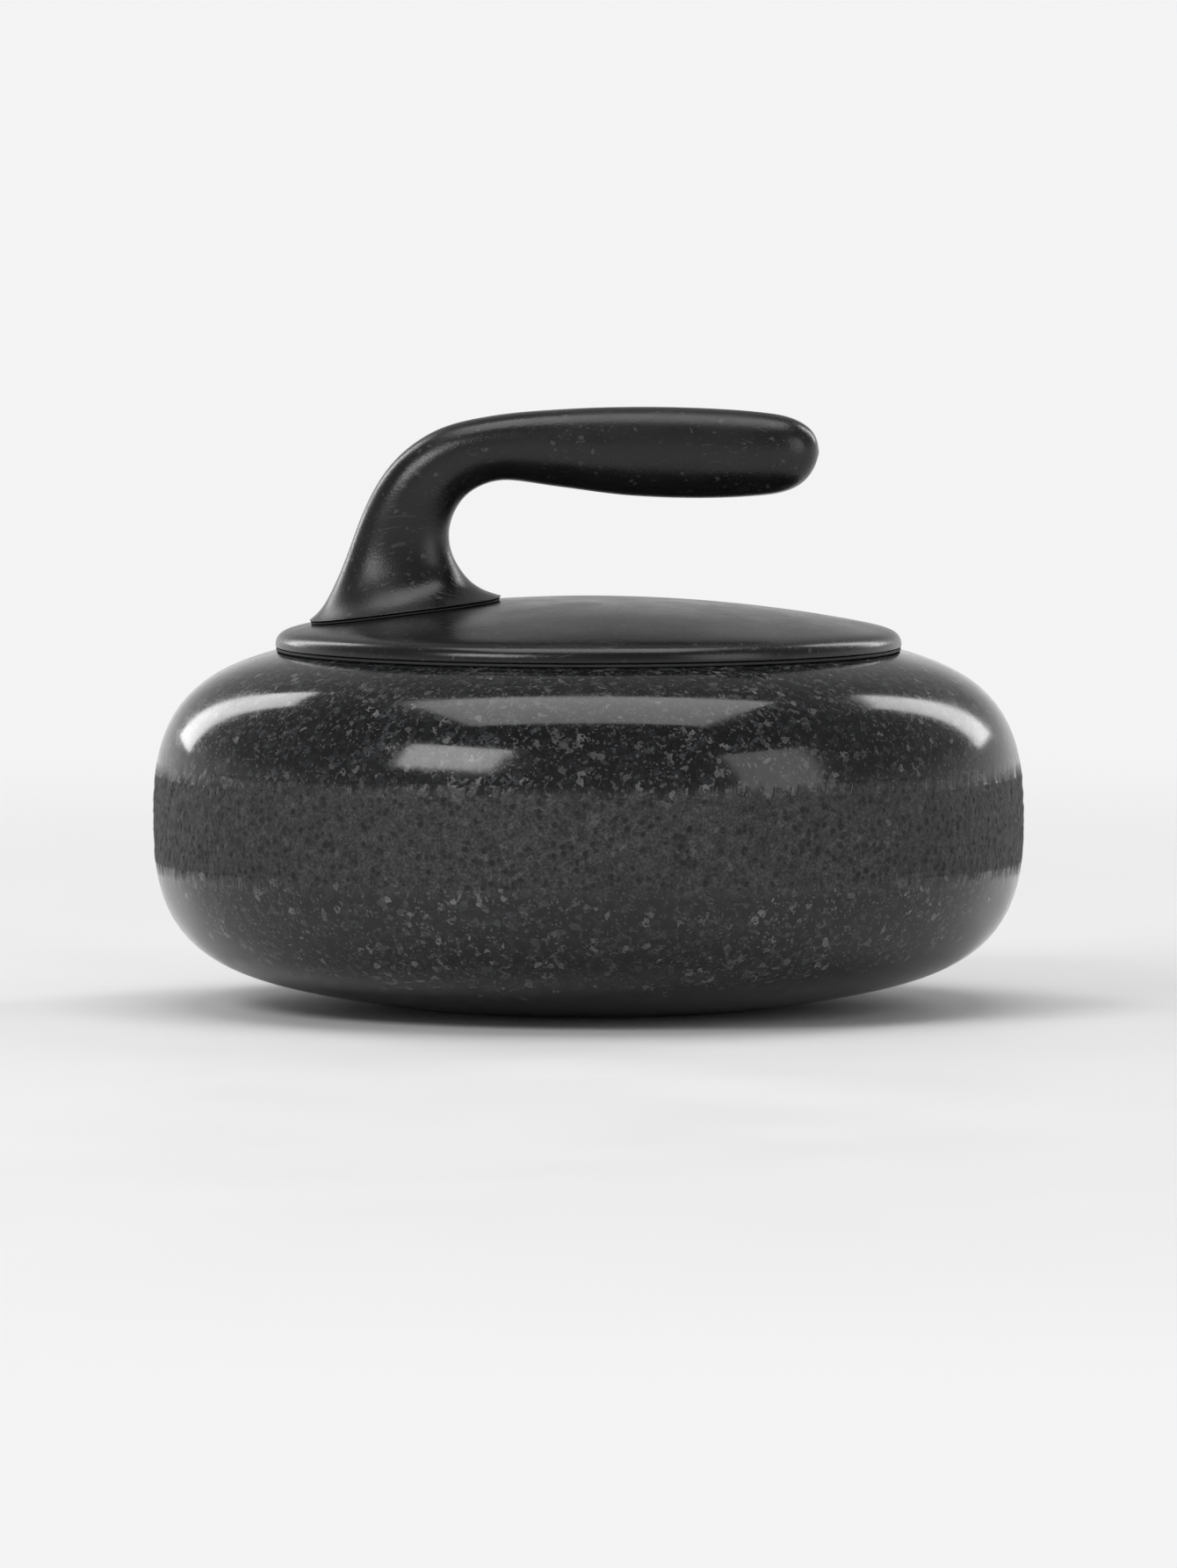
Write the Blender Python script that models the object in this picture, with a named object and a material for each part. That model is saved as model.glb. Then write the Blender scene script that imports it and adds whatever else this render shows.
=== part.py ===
"""A curling stone: the turned granite, its bolt, and the cap and gooseneck handle, piece by piece.

Run with blender --background --python part.py. Metres, +Z up. The origin is on the ice under the
stone's centre. The neck of the handle rises on the -X side and its free end points along +X.
"""

import math

import bmesh
import bpy
from mathutils import Matrix, Vector
from mathutils.geometry import interpolate_bezier

MM = 0.001
TOUCH_GAP = 0.3 * MM
CUT_OVERSHOOT = 3 * MM

# The stone
STONE_RADIUS = 145 * MM
STONE_HEIGHT = 125.4 * MM
GIRTH_START = 59.8 * MM
BAND_OUTER_RADIUS = 62 * MM
BAND_INNER_RADIUS = 56 * MM
UNDERSIDE_ANGLE = math.radians(8.6)
UNDERSIDE_HANDLE = 54 * MM
GIRTH_HANDLE = 48 * MM
UPPER_CUP_FLOOR = 117 * MM
UPPER_CUP_RADIUS = 47 * MM
UPPER_CUP_EDGE_HANDLE = (-3 * MM, -5 * MM)
UPPER_CUP_FLOOR_HANDLE = 3 * MM
BOLT_HOLE_RADIUS = 8 * MM
WASHER_RECESS_RADIUS = 20 * MM
WASHER_RECESS_CEILING = 30 * MM

# The harder stone ring let into the underside
INSERT_RADIUS = 70 * MM
INSERT_TOP = 24 * MM
INSERT_HOLE_RADIUS = 24 * MM
LOWER_CUP_HEIGHT = 9.5 * MM
LOWER_CUP_ROOF_HANDLE = 24 * MM
LOWER_CUP_EDGE_HANDLE = (-4 * MM, 5 * MM)

# The domed cap
CAP_APEX = 135.6 * MM
DOME_RADIUS = 490 * MM
DOME_EDGE_RADIUS = 95.5 * MM
CAP_RADIUS = 104.2 * MM
CAP_RIM_BOTTOM = 119.5 * MM
CAP_RIM_TOP = 119.9 * MM
CAP_WALL = 2.5 * MM
CAP_DOME_HANDLE = (5.4 * MM, -1.2 * MM)
CAP_RIM_HANDLE = 4.2 * MM
GASKET_INSET = 0.2 * MM
GASKET_WIDTH = 3 * MM
BOSS_RADIUS = 4.2 * MM
CAP_SCREW_CIRCLE = 34 * MM
CAP_SCREW_ANGLES = (28, 84, 276, 332)

# The base plate under the cap
PLATE_RADIUS = 90 * MM
PLATE_THICKNESS = 2.6 * MM
PLATE_GAP = 0.35 * MM
HUB_RADIUS = 15 * MM
HUB_BORE_RADIUS = 8.8 * MM
HUB_RECESS_RADIUS = 11.8 * MM
HUB_RECESS_FLOOR = 129.4 * MM
SEAT_PAD_THICKNESS = 1.2 * MM
SEAT_PAD_HOLE_MARGIN = 2 * MM
SEAT_PAD_EDGE_MARGIN = 1 * MM
NUT_BOTTOM = 120 * MM
NUT_FLANGE_THICKNESS = 2.2 * MM
COLLAR_RADIUS = 7 * MM
COLLAR_BOTTOM = 124.2 * MM
RIB_COUNT = 6
RIB_THICKNESS = 4 * MM
RIB_REACH = 43 * MM

# The handle bolt and what lies on it
BOLT_RADIUS = 5 * MM
BOLT_LENGTH = 110 * MM
BOLT_HEAD_ACROSS_FLATS = 17 * MM
BOLT_HEAD_HEIGHT = 6.4 * MM
BOLT_CHAMFER = 1 * MM
RUBBER_WASHER = (5.4 * MM, 18.5 * MM, 3 * MM)
FLAT_WASHER = (5.4 * MM, 17.5 * MM, 2.5 * MM)
SPRING_WASHER = (5.3 * MM, 9 * MM, 2.6 * MM)
SPRING_WASHER_GAP_ANGLE = 10
SPRING_WASHER_RISE = 0.3 * MM
BUSH_LENGTH = 16 * MM

# The screws of the neck and of the cap
NECK_SCREW_PLACES = ((-50, 7), (-50, -7), (-75, 7), (-75, -7))
NECK_SCREW_RADIUS = 2.5 * MM
NECK_SCREW_HEAD_RADIUS = 4.6 * MM
NECK_SCREW_HEAD_HEIGHT = 2.3 * MM
NECK_SCREW_LENGTH = 12 * MM
CAP_SCREW_RADIUS = 1.9 * MM
CAP_SCREW_HEAD_RADIUS = 3.8 * MM
CAP_SCREW_HEAD_HEIGHT = 2.6 * MM
CAP_SCREW_HEAD_CROWN = (0.7, 0.6)
CAP_SCREW_LENGTH = 10 * MM
CAP_WASHER = (2.3 * MM, 6 * MM, 1 * MM)

# The neck and grip, as rings from the foot to the free end. Each row, in millimetres, holds the
# ring's point on the outer side of the bend (x, z), the one on the inner side (x, z), and half
# the ring's width along Y. The first two rings follow the cap's dome, so their heights are the
# heights above it.
FOOT_RINGS = (
    (-92.8, 1.0, -29.2, 1.0, 28.1),
    (-92.3, 1.7, -30.0, 2.0, 27.5),
)
NECK_RINGS = (
    (-88.5, 132.2, -35.8, 138.4, 22.5),
    (-86.0, 136.7, -39.7, 141.1, 18.5),
    (-83.0, 143.1, -43.5, 146.1, 15.2),
    (-80.4, 149.6, -45.8, 151.1, 13.4),
    (-77.9, 156.6, -46.5, 156.6, 12.6),
    (-74.6, 165.1, -45.7, 161.4, 12.3),
    (-69.7, 174.5, -43.6, 166.1, 12.2),
    (-62.5, 183.4, -40.5, 169.9, 12.1),
    (-50.0, 191.7, -35.6, 173.0, 12.2),
    (-32.0, 196.2, -28.5, 174.8, 12.5),
    (-9.4, 198.3, -10.7, 172.7, 13.2),
    (14.0, 199.1, 13.1, 169.7, 13.8),
    (38.0, 198.7, 37.0, 168.8, 14.0),
    (56.8, 197.4, 54.0, 169.4, 13.6),
)
END_RINGS = (
    (66.5, 195.9, 64.0, 170.5, 12.6),
    (72.3, 193.3, 70.5, 173.0, 10.4),
    (75.3, 190.3, 74.1, 176.8, 7.4),
    (76.5, 187.1, 76.1, 180.8, 3.6),
)
GRIP_TIP = (76.7, 183.9)
RING_SQUARENESS = 2.3
SHELL_WALL = 3 * MM
FOOT_EXTRA_WALL = 1.3
FOOT_EXTRA_RINGS = 4
FOOT_MIDDLE_INSET = 16 * MM
CORE_CLEARANCE = 0.4 * MM
HOLLOW_DROP = 4 * MM
SEAL_OUTER_INSET = 0.4 * MM
SEAL_INNER_INSET = 5.2 * MM
SEAL_THICKNESS = 0.4 * MM

# How finely round pieces are divided
WIDE_SEGMENTS = 64
PLATE_SEGMENTS = 48
WASHER_SEGMENTS = 32
SHAFT_SEGMENTS = 24
SCREW_SEGMENTS = 12
CURVE_POINTS = 9
RING_POINTS = 20
RING_STEPS = 2


# ---- tools ----


def clear_scene():
    for obj in list(bpy.data.objects):
        bpy.data.objects.remove(obj, do_unlink=True)


def make_material(name, colour, roughness, metallic=0.0):
    """A Principled material of one colour."""
    material = bpy.data.materials.new(name)
    material.use_nodes = True
    shader = material.node_tree.nodes["Principled BSDF"]
    shader.inputs["Base Color"].default_value = (*colour, 1.0)
    shader.inputs["Roughness"].default_value = roughness
    shader.inputs["Metallic"].default_value = metallic
    return material


def add_object(name, mesh, material=None, location=(0, 0, 0)):
    """An object in the scene that shows the mesh."""
    obj = bpy.data.objects.new(name, mesh)
    obj.location = location
    bpy.context.collection.objects.link(obj)
    if material and not mesh.materials:
        mesh.materials.append(material)
    return obj


def loft(name, rings, closed=False):
    """A mesh through rings of equal point counts. Open ends get a flat face."""
    work = bmesh.new()
    layers = [[work.verts.new(point) for point in ring] for ring in rings]
    pairs = list(zip(layers, layers[1:]))
    if closed:
        pairs.append((layers[-1], layers[0]))
    count = len(layers[0])
    for here, there in pairs:
        for i in range(count):
            j = (i + 1) % count
            work.faces.new((here[i], here[j], there[j], there[i]))
    if not closed:
        work.faces.new(layers[0])
        work.faces.new(layers[-1])
    bmesh.ops.remove_doubles(work, verts=work.verts, dist=1e-3 * MM)
    bmesh.ops.recalc_face_normals(work, faces=work.faces)
    mesh = bpy.data.meshes.new(name)
    work.to_mesh(mesh)
    work.free()
    mesh.shade_smooth()
    mesh.set_sharp_from_angle(angle=math.radians(32))
    return mesh


def turned(name, outline, segments):
    """A closed outline of (radius, height) points, turned once around the Z axis."""
    rings = []
    for step in range(segments):
        spin = Matrix.Rotation(math.tau * step / segments, 4, "Z")
        rings.append([spin @ Vector((radius, 0, height)) for radius, height in outline])
    return loft(name, rings, closed=True)


def circle_ring(radius, height, segments):
    angles = [math.tau * step / segments for step in range(segments)]
    return [Vector((radius * math.cos(a), radius * math.sin(a), height)) for a in angles]


def solid_of_circles(name, outline, segments):
    """A round solid with no hole, from the (radius, height) of each circle, bottom to top."""
    return loft(name, [circle_ring(radius, height, segments) for radius, height in outline])


def washer_mesh(name, size, segments):
    """A plain washer standing on z = 0, from its (inner radius, outer radius, thickness)."""
    inner, outer, thickness = size
    return turned(name, [(inner, 0), (outer, 0), (outer, thickness), (inner, thickness)], segments)


def add_boolean(obj, other, operation):
    modifier = obj.modifiers.new(operation.lower(), "BOOLEAN")
    modifier.operation = operation
    modifier.solver = "EXACT"
    modifier.object = other


def add_helper(name, mesh, location=(0, 0, 0)):
    """A hidden object that a Boolean reads."""
    helper = add_object(name, mesh, location=location)
    helper.hide_render = True
    helper.display_type = "WIRE"
    return helper


def curve_points(start, first_handle, second_handle, end):
    """Points along a cubic curve in the (radius, height) plane."""
    points = interpolate_bezier(start, first_handle, second_handle, end, CURVE_POINTS)
    return [(point[0], point[1]) for point in points]


def height_on(outline, radius):
    """The height where an outline that runs outwards reaches a radius."""
    for (near, low), (far, high) in zip(outline, outline[1:]):
        if near <= radius <= far:
            return low + (high - low) * (radius - near) / (far - near)
    raise ValueError("the outline doesn't reach this radius")


# ---- the stone ----


def stone_shoulder():
    """The lower outline, from the running band's outer edge out and up to the girth."""
    run = Vector((math.cos(UNDERSIDE_ANGLE), math.sin(UNDERSIDE_ANGLE))) * UNDERSIDE_HANDLE
    start = Vector((BAND_OUTER_RADIUS, 0))
    end = Vector((STONE_RADIUS, GIRTH_START))
    return curve_points(start, start + run, end - Vector((0, GIRTH_HANDLE)), end)


def upper_stone_height(radius):
    """The height of the stone's upper face, outside its upper band."""
    return STONE_HEIGHT - height_on(stone_shoulder(), radius)


def build_granite_body(material):
    recess_radius = INSERT_RADIUS + TOUCH_GAP
    recess_top = INSERT_TOP + TOUCH_GAP
    lower = stone_shoulder()
    lower_edge = (recess_radius, height_on(lower, recess_radius))
    outside = [lower_edge] + [point for point in lower if point[0] > recess_radius]
    upper = [(radius, STONE_HEIGHT - height) for radius, height in reversed(lower)]
    cup_side = curve_points(
        (BAND_INNER_RADIUS, STONE_HEIGHT),
        (BAND_INNER_RADIUS + UPPER_CUP_EDGE_HANDLE[0], STONE_HEIGHT + UPPER_CUP_EDGE_HANDLE[1]),
        (UPPER_CUP_RADIUS + UPPER_CUP_FLOOR_HANDLE, UPPER_CUP_FLOOR),
        (UPPER_CUP_RADIUS, UPPER_CUP_FLOOR),
    )[::2]
    inside = [
        (BOLT_HOLE_RADIUS, UPPER_CUP_FLOOR),
        (BOLT_HOLE_RADIUS, WASHER_RECESS_CEILING),
        (WASHER_RECESS_RADIUS, WASHER_RECESS_CEILING),
        (WASHER_RECESS_RADIUS, recess_top),
        (recess_radius, recess_top),
    ]
    mesh = turned("granite_body", outside + upper + cup_side + inside, WIDE_SEGMENTS)
    add_object("granite_body", mesh, material)


def build_running_insert(material):
    lower = stone_shoulder()
    cup = curve_points(
        (INSERT_HOLE_RADIUS, LOWER_CUP_HEIGHT),
        (INSERT_HOLE_RADIUS + LOWER_CUP_ROOF_HANDLE, LOWER_CUP_HEIGHT),
        (BAND_INNER_RADIUS + LOWER_CUP_EDGE_HANDLE[0], LOWER_CUP_EDGE_HANDLE[1]),
        (BAND_INNER_RADIUS, 0),
    )[::2]
    outline = [(INSERT_HOLE_RADIUS, INSERT_TOP)] + cup + [
        (BAND_OUTER_RADIUS, 0),
        (INSERT_RADIUS, height_on(lower, INSERT_RADIUS)),
        (INSERT_RADIUS, INSERT_TOP),
    ]
    add_object("running_insert", turned("running_insert", outline, WIDE_SEGMENTS), material)


# ---- the bolt and what lies on it ----


def hexagon_ring(across_flats, height):
    """A hexagon as a ring of SHAFT_SEGMENTS points, with a point at each corner."""
    ring = []
    for step in range(SHAFT_SEGMENTS):
        angle = math.tau * step / SHAFT_SEGMENTS
        from_flat = angle % math.radians(60) - math.radians(30)
        reach = across_flats / 2 / math.cos(from_flat)
        ring.append(Vector((reach * math.cos(angle), reach * math.sin(angle), height)))
    return ring


def bolt_mesh():
    """A hexagon bolt whose head rests on z = 0 and whose shank rises from it."""
    face_radius = BOLT_HEAD_ACROSS_FLATS / 2 - BOLT_CHAMFER
    rings = [
        circle_ring(face_radius, -BOLT_HEAD_HEIGHT, SHAFT_SEGMENTS),
        hexagon_ring(BOLT_HEAD_ACROSS_FLATS, -BOLT_HEAD_HEIGHT + BOLT_CHAMFER),
        hexagon_ring(BOLT_HEAD_ACROSS_FLATS, 0),
        circle_ring(BOLT_RADIUS, 0, SHAFT_SEGMENTS),
        circle_ring(BOLT_RADIUS, BOLT_LENGTH - BOLT_CHAMFER, SHAFT_SEGMENTS),
        circle_ring(BOLT_RADIUS - BOLT_CHAMFER, BOLT_LENGTH, SHAFT_SEGMENTS),
    ]
    return loft("handle_bolt", rings)


def spring_washer_mesh():
    """A split ring whose ends are sprung apart in height."""
    inner, outer, thickness = SPRING_WASHER
    sprung = thickness - SPRING_WASHER_RISE
    rings = []
    for step in range(WASHER_SEGMENTS + 1):
        share = step / WASHER_SEGMENTS
        low = SPRING_WASHER_RISE * share
        turn = math.radians(SPRING_WASHER_GAP_ANGLE / 2 + (360 - SPRING_WASHER_GAP_ANGLE) * share)
        spin = Matrix.Rotation(turn, 4, "Z")
        corners = [(inner, low), (outer, low), (outer, low + sprung), (inner, low + sprung)]
        rings.append([spin @ Vector((radius, 0, height)) for radius, height in corners])
    return loft("bolt_spring_washer", rings)


def build_bolt_stack(steel, rubber, nylon):
    """The bolt, its washers from the stone downwards, and the two bushes that centre it."""
    rubber_bottom = WASHER_RECESS_CEILING - TOUCH_GAP - RUBBER_WASHER[2]
    flat_bottom = rubber_bottom - TOUCH_GAP - FLAT_WASHER[2]
    spring_bottom = flat_bottom - TOUCH_GAP - SPRING_WASHER[2]
    head_top = spring_bottom - TOUCH_GAP
    rubber_mesh = washer_mesh("bolt_rubber_washer", RUBBER_WASHER, WASHER_SEGMENTS)
    flat_mesh = washer_mesh("bolt_flat_washer", FLAT_WASHER, WASHER_SEGMENTS)
    add_object("bolt_rubber_washer", rubber_mesh, rubber, (0, 0, rubber_bottom))
    add_object("bolt_flat_washer", flat_mesh, steel, (0, 0, flat_bottom))
    add_object("bolt_spring_washer", spring_washer_mesh(), steel, (0, 0, spring_bottom))
    add_object("handle_bolt", bolt_mesh(), steel, (0, 0, head_top))
    bush_size = (BOLT_RADIUS + TOUCH_GAP, BOLT_HOLE_RADIUS - TOUCH_GAP, BUSH_LENGTH)
    bush = washer_mesh("bolt_bush", bush_size, SHAFT_SEGMENTS)
    add_object("lower_bolt_bush", bush, nylon, (0, 0, WASHER_RECESS_CEILING + TOUCH_GAP))
    add_object("upper_bolt_bush", bush, nylon, (0, 0, UPPER_CUP_FLOOR - TOUCH_GAP - BUSH_LENGTH))


# ---- the cap, the base plate and what lies between them and the stone ----


def dome_height(radius, below=0.0):
    """The height of the cap's dome at a radius, or of a surface this far below it."""
    return CAP_APEX - DOME_RADIUS + math.sqrt((DOME_RADIUS - below) ** 2 - radius**2)


def dome_points(outer_radius, below, inner_radius=0.0, count=6):
    """Points outwards along the dome, or along a surface this far below it."""
    span = outer_radius - inner_radius
    radii = [inner_radius + span * step / (count - 1) for step in range(count)]
    return [(radius, dome_height(radius, below)) for radius in radii]


def dome_shoulder(inset):
    """The cap's rounded shoulder, from the dome down to the rim, at an inset from its outside."""
    start = (DOME_EDGE_RADIUS, dome_height(DOME_EDGE_RADIUS, inset))
    end = (CAP_RADIUS - inset, CAP_RIM_TOP)
    run, fall = CAP_DOME_HANDLE
    along_dome = (start[0] + run - inset / 2, start[1] + fall)
    up_rim = (end[0], end[1] + CAP_RIM_HANDLE - inset / 2)
    return curve_points(start, along_dome, up_rim, end)[1::2] + [end]


def circle_place(radius, degrees, height):
    angle = math.radians(degrees)
    return Vector((radius * math.cos(angle), radius * math.sin(angle), height))


def neck_screw_places():
    """Each neck screw's place: the centre of its head's lower face."""
    places = []
    for x, y in NECK_SCREW_PLACES:
        radius = math.hypot(x, y) * MM
        plate_bottom = dome_height(radius, CAP_WALL + PLATE_GAP + PLATE_THICKNESS)
        places.append(Vector((x * MM, y * MM, plate_bottom + TOUCH_GAP)))
    return places


def neck_screw_outline(clearance):
    """A countersunk screw's outline, or with a clearance that of the hole it takes."""
    head = NECK_SCREW_HEAD_RADIUS + clearance
    shank = NECK_SCREW_RADIUS + clearance
    outline = [
        (head, clearance),
        (shank, NECK_SCREW_HEAD_HEIGHT + clearance),
        (shank, NECK_SCREW_LENGTH + clearance),
    ]
    if clearance:
        outline.insert(0, (head, -CUT_OVERSHOOT))
    return outline


def neck_screw_cutters():
    """Hidden screw-shaped cutters, one at each neck screw."""
    mesh = solid_of_circles("neck_screw_hole", neck_screw_outline(TOUCH_GAP), SCREW_SEGMENTS)
    places = enumerate(neck_screw_places(), 1)
    return [add_helper(f"neck_screw_hole_{number}", mesh, place) for number, place in places]


def cap_screw_places(height):
    """The centre of each cap screw, at a height."""
    return [circle_place(CAP_SCREW_CIRCLE, degrees, height) for degrees in CAP_SCREW_ANGLES]


def build_handle_cap(material, neck_cutters):
    """The domed cover, with a blind boss for each cap screw and a hole for each neck screw."""
    outside = dome_points(DOME_EDGE_RADIUS, 0, count=7) + dome_shoulder(0)
    inside = dome_points(DOME_EDGE_RADIUS, CAP_WALL) + dome_shoulder(CAP_WALL)
    rim = [(CAP_RADIUS, CAP_RIM_BOTTOM), (CAP_RADIUS - CAP_WALL, CAP_RIM_BOTTOM)]
    mesh = turned("handle_cap", outside + rim + inside[::-1], WIDE_SEGMENTS)
    cap = add_object("handle_cap", mesh, material)
    boss_bottom = COLLAR_BOTTOM + TOUCH_GAP
    boss_height = dome_height(CAP_SCREW_CIRCLE, CAP_WALL / 2) - boss_bottom
    hole_depth = CAP_SCREW_LENGTH - CAP_WASHER[2] - 2 * TOUCH_GAP
    boss_outline = [(BOSS_RADIUS, 0), (BOSS_RADIUS, boss_height)]
    boss_mesh = solid_of_circles("cap_boss", boss_outline, 2 * SCREW_SEGMENTS)
    hole_radius = CAP_SCREW_RADIUS + TOUCH_GAP
    hole_outline = [(hole_radius, -CUT_OVERSHOOT), (hole_radius, hole_depth)]
    hole_mesh = solid_of_circles("cap_boss_hole", hole_outline, SCREW_SEGMENTS)
    for number, place in enumerate(cap_screw_places(boss_bottom), 1):
        add_boolean(cap, add_helper(f"cap_boss_{number}", boss_mesh, place), "UNION")
        add_boolean(cap, add_helper(f"cap_boss_hole_{number}", hole_mesh, place), "DIFFERENCE")
    for cutter in neck_cutters:
        add_boolean(cap, cutter, "DIFFERENCE")


def rib_mesh(bottom, top):
    """A radial rib along +X, from inside the hub to the rib's reach."""
    work = bmesh.new()
    bmesh.ops.create_cube(work, size=1)
    start = (HUB_BORE_RADIUS + HUB_RADIUS) / 2
    length = RIB_REACH - start
    bmesh.ops.scale(work, verts=work.verts, vec=(length, RIB_THICKNESS, top - bottom))
    bmesh.ops.translate(work, verts=work.verts, vec=(start + length / 2, 0, (bottom + top) / 2))
    mesh = bpy.data.meshes.new("base_plate_rib")
    work.to_mesh(mesh)
    work.free()
    return mesh


def build_base_plate(material, neck_cutters):
    """The domed plate with its hub, ribs and collars, holed for the bosses and the neck screws."""
    top_below = CAP_WALL + PLATE_GAP
    bottom_below = top_below + PLATE_THICKNESS
    seat = UPPER_CUP_FLOOR + TOUCH_GAP + SEAT_PAD_THICKNESS + TOUCH_GAP
    underside = dome_points(PLATE_RADIUS, bottom_below, HUB_RADIUS)
    upper_face = dome_points(PLATE_RADIUS, top_below, HUB_RECESS_RADIUS)
    hub_top = [(HUB_RECESS_RADIUS, HUB_RECESS_FLOOR), (HUB_BORE_RADIUS, HUB_RECESS_FLOOR)]
    hub_foot = [(HUB_BORE_RADIUS, seat), (HUB_RADIUS, seat)]
    outline = hub_foot + underside + upper_face[::-1] + hub_top
    plate = add_object("base_plate", turned("base_plate", outline, PLATE_SEGMENTS), material)
    rib = rib_mesh(seat, dome_height(RIB_REACH, bottom_below) + PLATE_THICKNESS / 2)
    for number in range(RIB_COUNT):
        helper = add_helper(f"base_plate_rib_{number + 1}", rib)
        helper.rotation_euler.z = math.tau * number / RIB_COUNT
        add_boolean(plate, helper, "UNION")
    middle_below = top_below + PLATE_THICKNESS / 2
    collar_height = dome_height(CAP_SCREW_CIRCLE, middle_below) - COLLAR_BOTTOM
    collar_outline = [(COLLAR_RADIUS, 0), (COLLAR_RADIUS, collar_height)]
    collar_mesh = solid_of_circles("boss_collar", collar_outline, 2 * SCREW_SEGMENTS)
    hole_radius = BOSS_RADIUS + TOUCH_GAP
    hole_top = collar_height + PLATE_THICKNESS + CUT_OVERSHOOT
    hole_outline = [(hole_radius, -CUT_OVERSHOOT), (hole_radius, hole_top)]
    hole_mesh = solid_of_circles("boss_hole", hole_outline, 2 * SCREW_SEGMENTS)
    for number, place in enumerate(cap_screw_places(COLLAR_BOTTOM), 1):
        add_boolean(plate, add_helper(f"boss_collar_{number}", collar_mesh, place), "UNION")
        add_boolean(plate, add_helper(f"boss_hole_{number}", hole_mesh, place), "DIFFERENCE")
    for cutter in neck_cutters:
        add_boolean(plate, cutter, "DIFFERENCE")


def build_seat_pad(material):
    inner = BOLT_HOLE_RADIUS + SEAT_PAD_HOLE_MARGIN
    outer = UPPER_CUP_RADIUS - SEAT_PAD_EDGE_MARGIN
    size = (inner, outer, SEAT_PAD_THICKNESS)
    mesh = washer_mesh("base_seat_pad", size, PLATE_SEGMENTS)
    add_object("base_seat_pad", mesh, material, (0, 0, UPPER_CUP_FLOOR + TOUCH_GAP))


def build_threaded_insert(material):
    """A flanged nut let into the hub from above, so that the bolt pulls it down."""
    bore = BOLT_RADIUS + TOUCH_GAP
    body = HUB_BORE_RADIUS - TOUCH_GAP
    flange = HUB_RECESS_RADIUS - TOUCH_GAP
    flange_bottom = HUB_RECESS_FLOOR + TOUCH_GAP
    flange_top = flange_bottom + NUT_FLANGE_THICKNESS
    outline = [
        (bore, NUT_BOTTOM),
        (body, NUT_BOTTOM),
        (body, flange_bottom),
        (flange, flange_bottom),
        (flange, flange_top),
        (bore, flange_top),
    ]
    mesh = turned("threaded_insert", outline, SHAFT_SEGMENTS)
    add_object("threaded_insert", mesh, material)


def build_cap_gasket(material):
    """A soft ring whose top is flat under the cap's rim and whose bottom follows the stone."""
    outer = CAP_RADIUS - GASKET_INSET
    inner = outer - GASKET_WIDTH
    top = CAP_RIM_BOTTOM - TOUCH_GAP
    outline = [
        (inner, upper_stone_height(inner) + TOUCH_GAP),
        (outer, upper_stone_height(outer) + TOUCH_GAP),
        (outer, top),
        (inner, top),
    ]
    add_object("cap_gasket", turned("cap_gasket", outline, WIDE_SEGMENTS), material)


def build_cap_screws(steel):
    """The pan head screws and washers that hold the cap's bosses to the base plate."""
    washer = washer_mesh("cap_screw_washer", CAP_WASHER, 2 * SCREW_SEGMENTS)
    crown_radius, crown_height = CAP_SCREW_HEAD_CROWN
    outline = [
        (CAP_SCREW_HEAD_RADIUS * crown_radius, -CAP_SCREW_HEAD_HEIGHT),
        (CAP_SCREW_HEAD_RADIUS, -CAP_SCREW_HEAD_HEIGHT * crown_height),
        (CAP_SCREW_HEAD_RADIUS, 0),
        (CAP_SCREW_RADIUS, 0),
        (CAP_SCREW_RADIUS, CAP_SCREW_LENGTH),
    ]
    screw = solid_of_circles("cap_screw", outline, SCREW_SEGMENTS)
    washer_bottom = COLLAR_BOTTOM - TOUCH_GAP - CAP_WASHER[2]
    for number, place in enumerate(cap_screw_places(washer_bottom), 1):
        add_object(f"cap_screw_washer_{number}", washer, steel, place)
    for number, place in enumerate(cap_screw_places(washer_bottom - TOUCH_GAP), 1):
        add_object(f"cap_screw_{number}", screw, steel, place)


def build_neck_screws(steel):
    mesh = solid_of_circles("neck_screw", neck_screw_outline(0), SCREW_SEGMENTS)
    for number, place in enumerate(neck_screw_places(), 1):
        add_object(f"neck_screw_{number}", mesh, steel, place)


# ---- the neck and grip ----


def grip_ring(row, inset):
    """One ring of the neck or grip, drawn in by the inset, from its outer point round by +Y."""
    outer = Vector((row[0], 0, row[1])) * MM
    inner = Vector((row[2], 0, row[3])) * MM
    middle = (outer + inner) / 2
    reach = outer - middle
    reach *= (reach.length - inset) / reach.length
    side = Vector((0, row[4] * MM - inset, 0))
    ring = []
    for step in range(RING_POINTS):
        angle = math.tau * step / RING_POINTS
        along = math.copysign(abs(math.cos(angle)) ** (2 / RING_SQUARENESS), math.cos(angle))
        across = math.copysign(abs(math.sin(angle)) ** (2 / RING_SQUARENESS), math.sin(angle))
        ring.append(middle + reach * along + side * across)
    return ring


def foot_ring(row, inset, lift=0.0):
    """A ring that follows the cap's dome. The row's heights and the lift are above the dome."""
    ring = grip_ring(row, inset)
    for point in ring:
        point.z = dome_height(math.hypot(point.x, point.y)) + row[1] * MM + lift
    return ring


def wall_at(number):
    """The wall across a ring. The foot's flare takes more of it than the upright neck."""
    flare = max(0, FOOT_EXTRA_RINGS - number) / FOOT_EXTRA_RINGS
    return SHELL_WALL * (1 + FOOT_EXTRA_WALL * flare)


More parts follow.
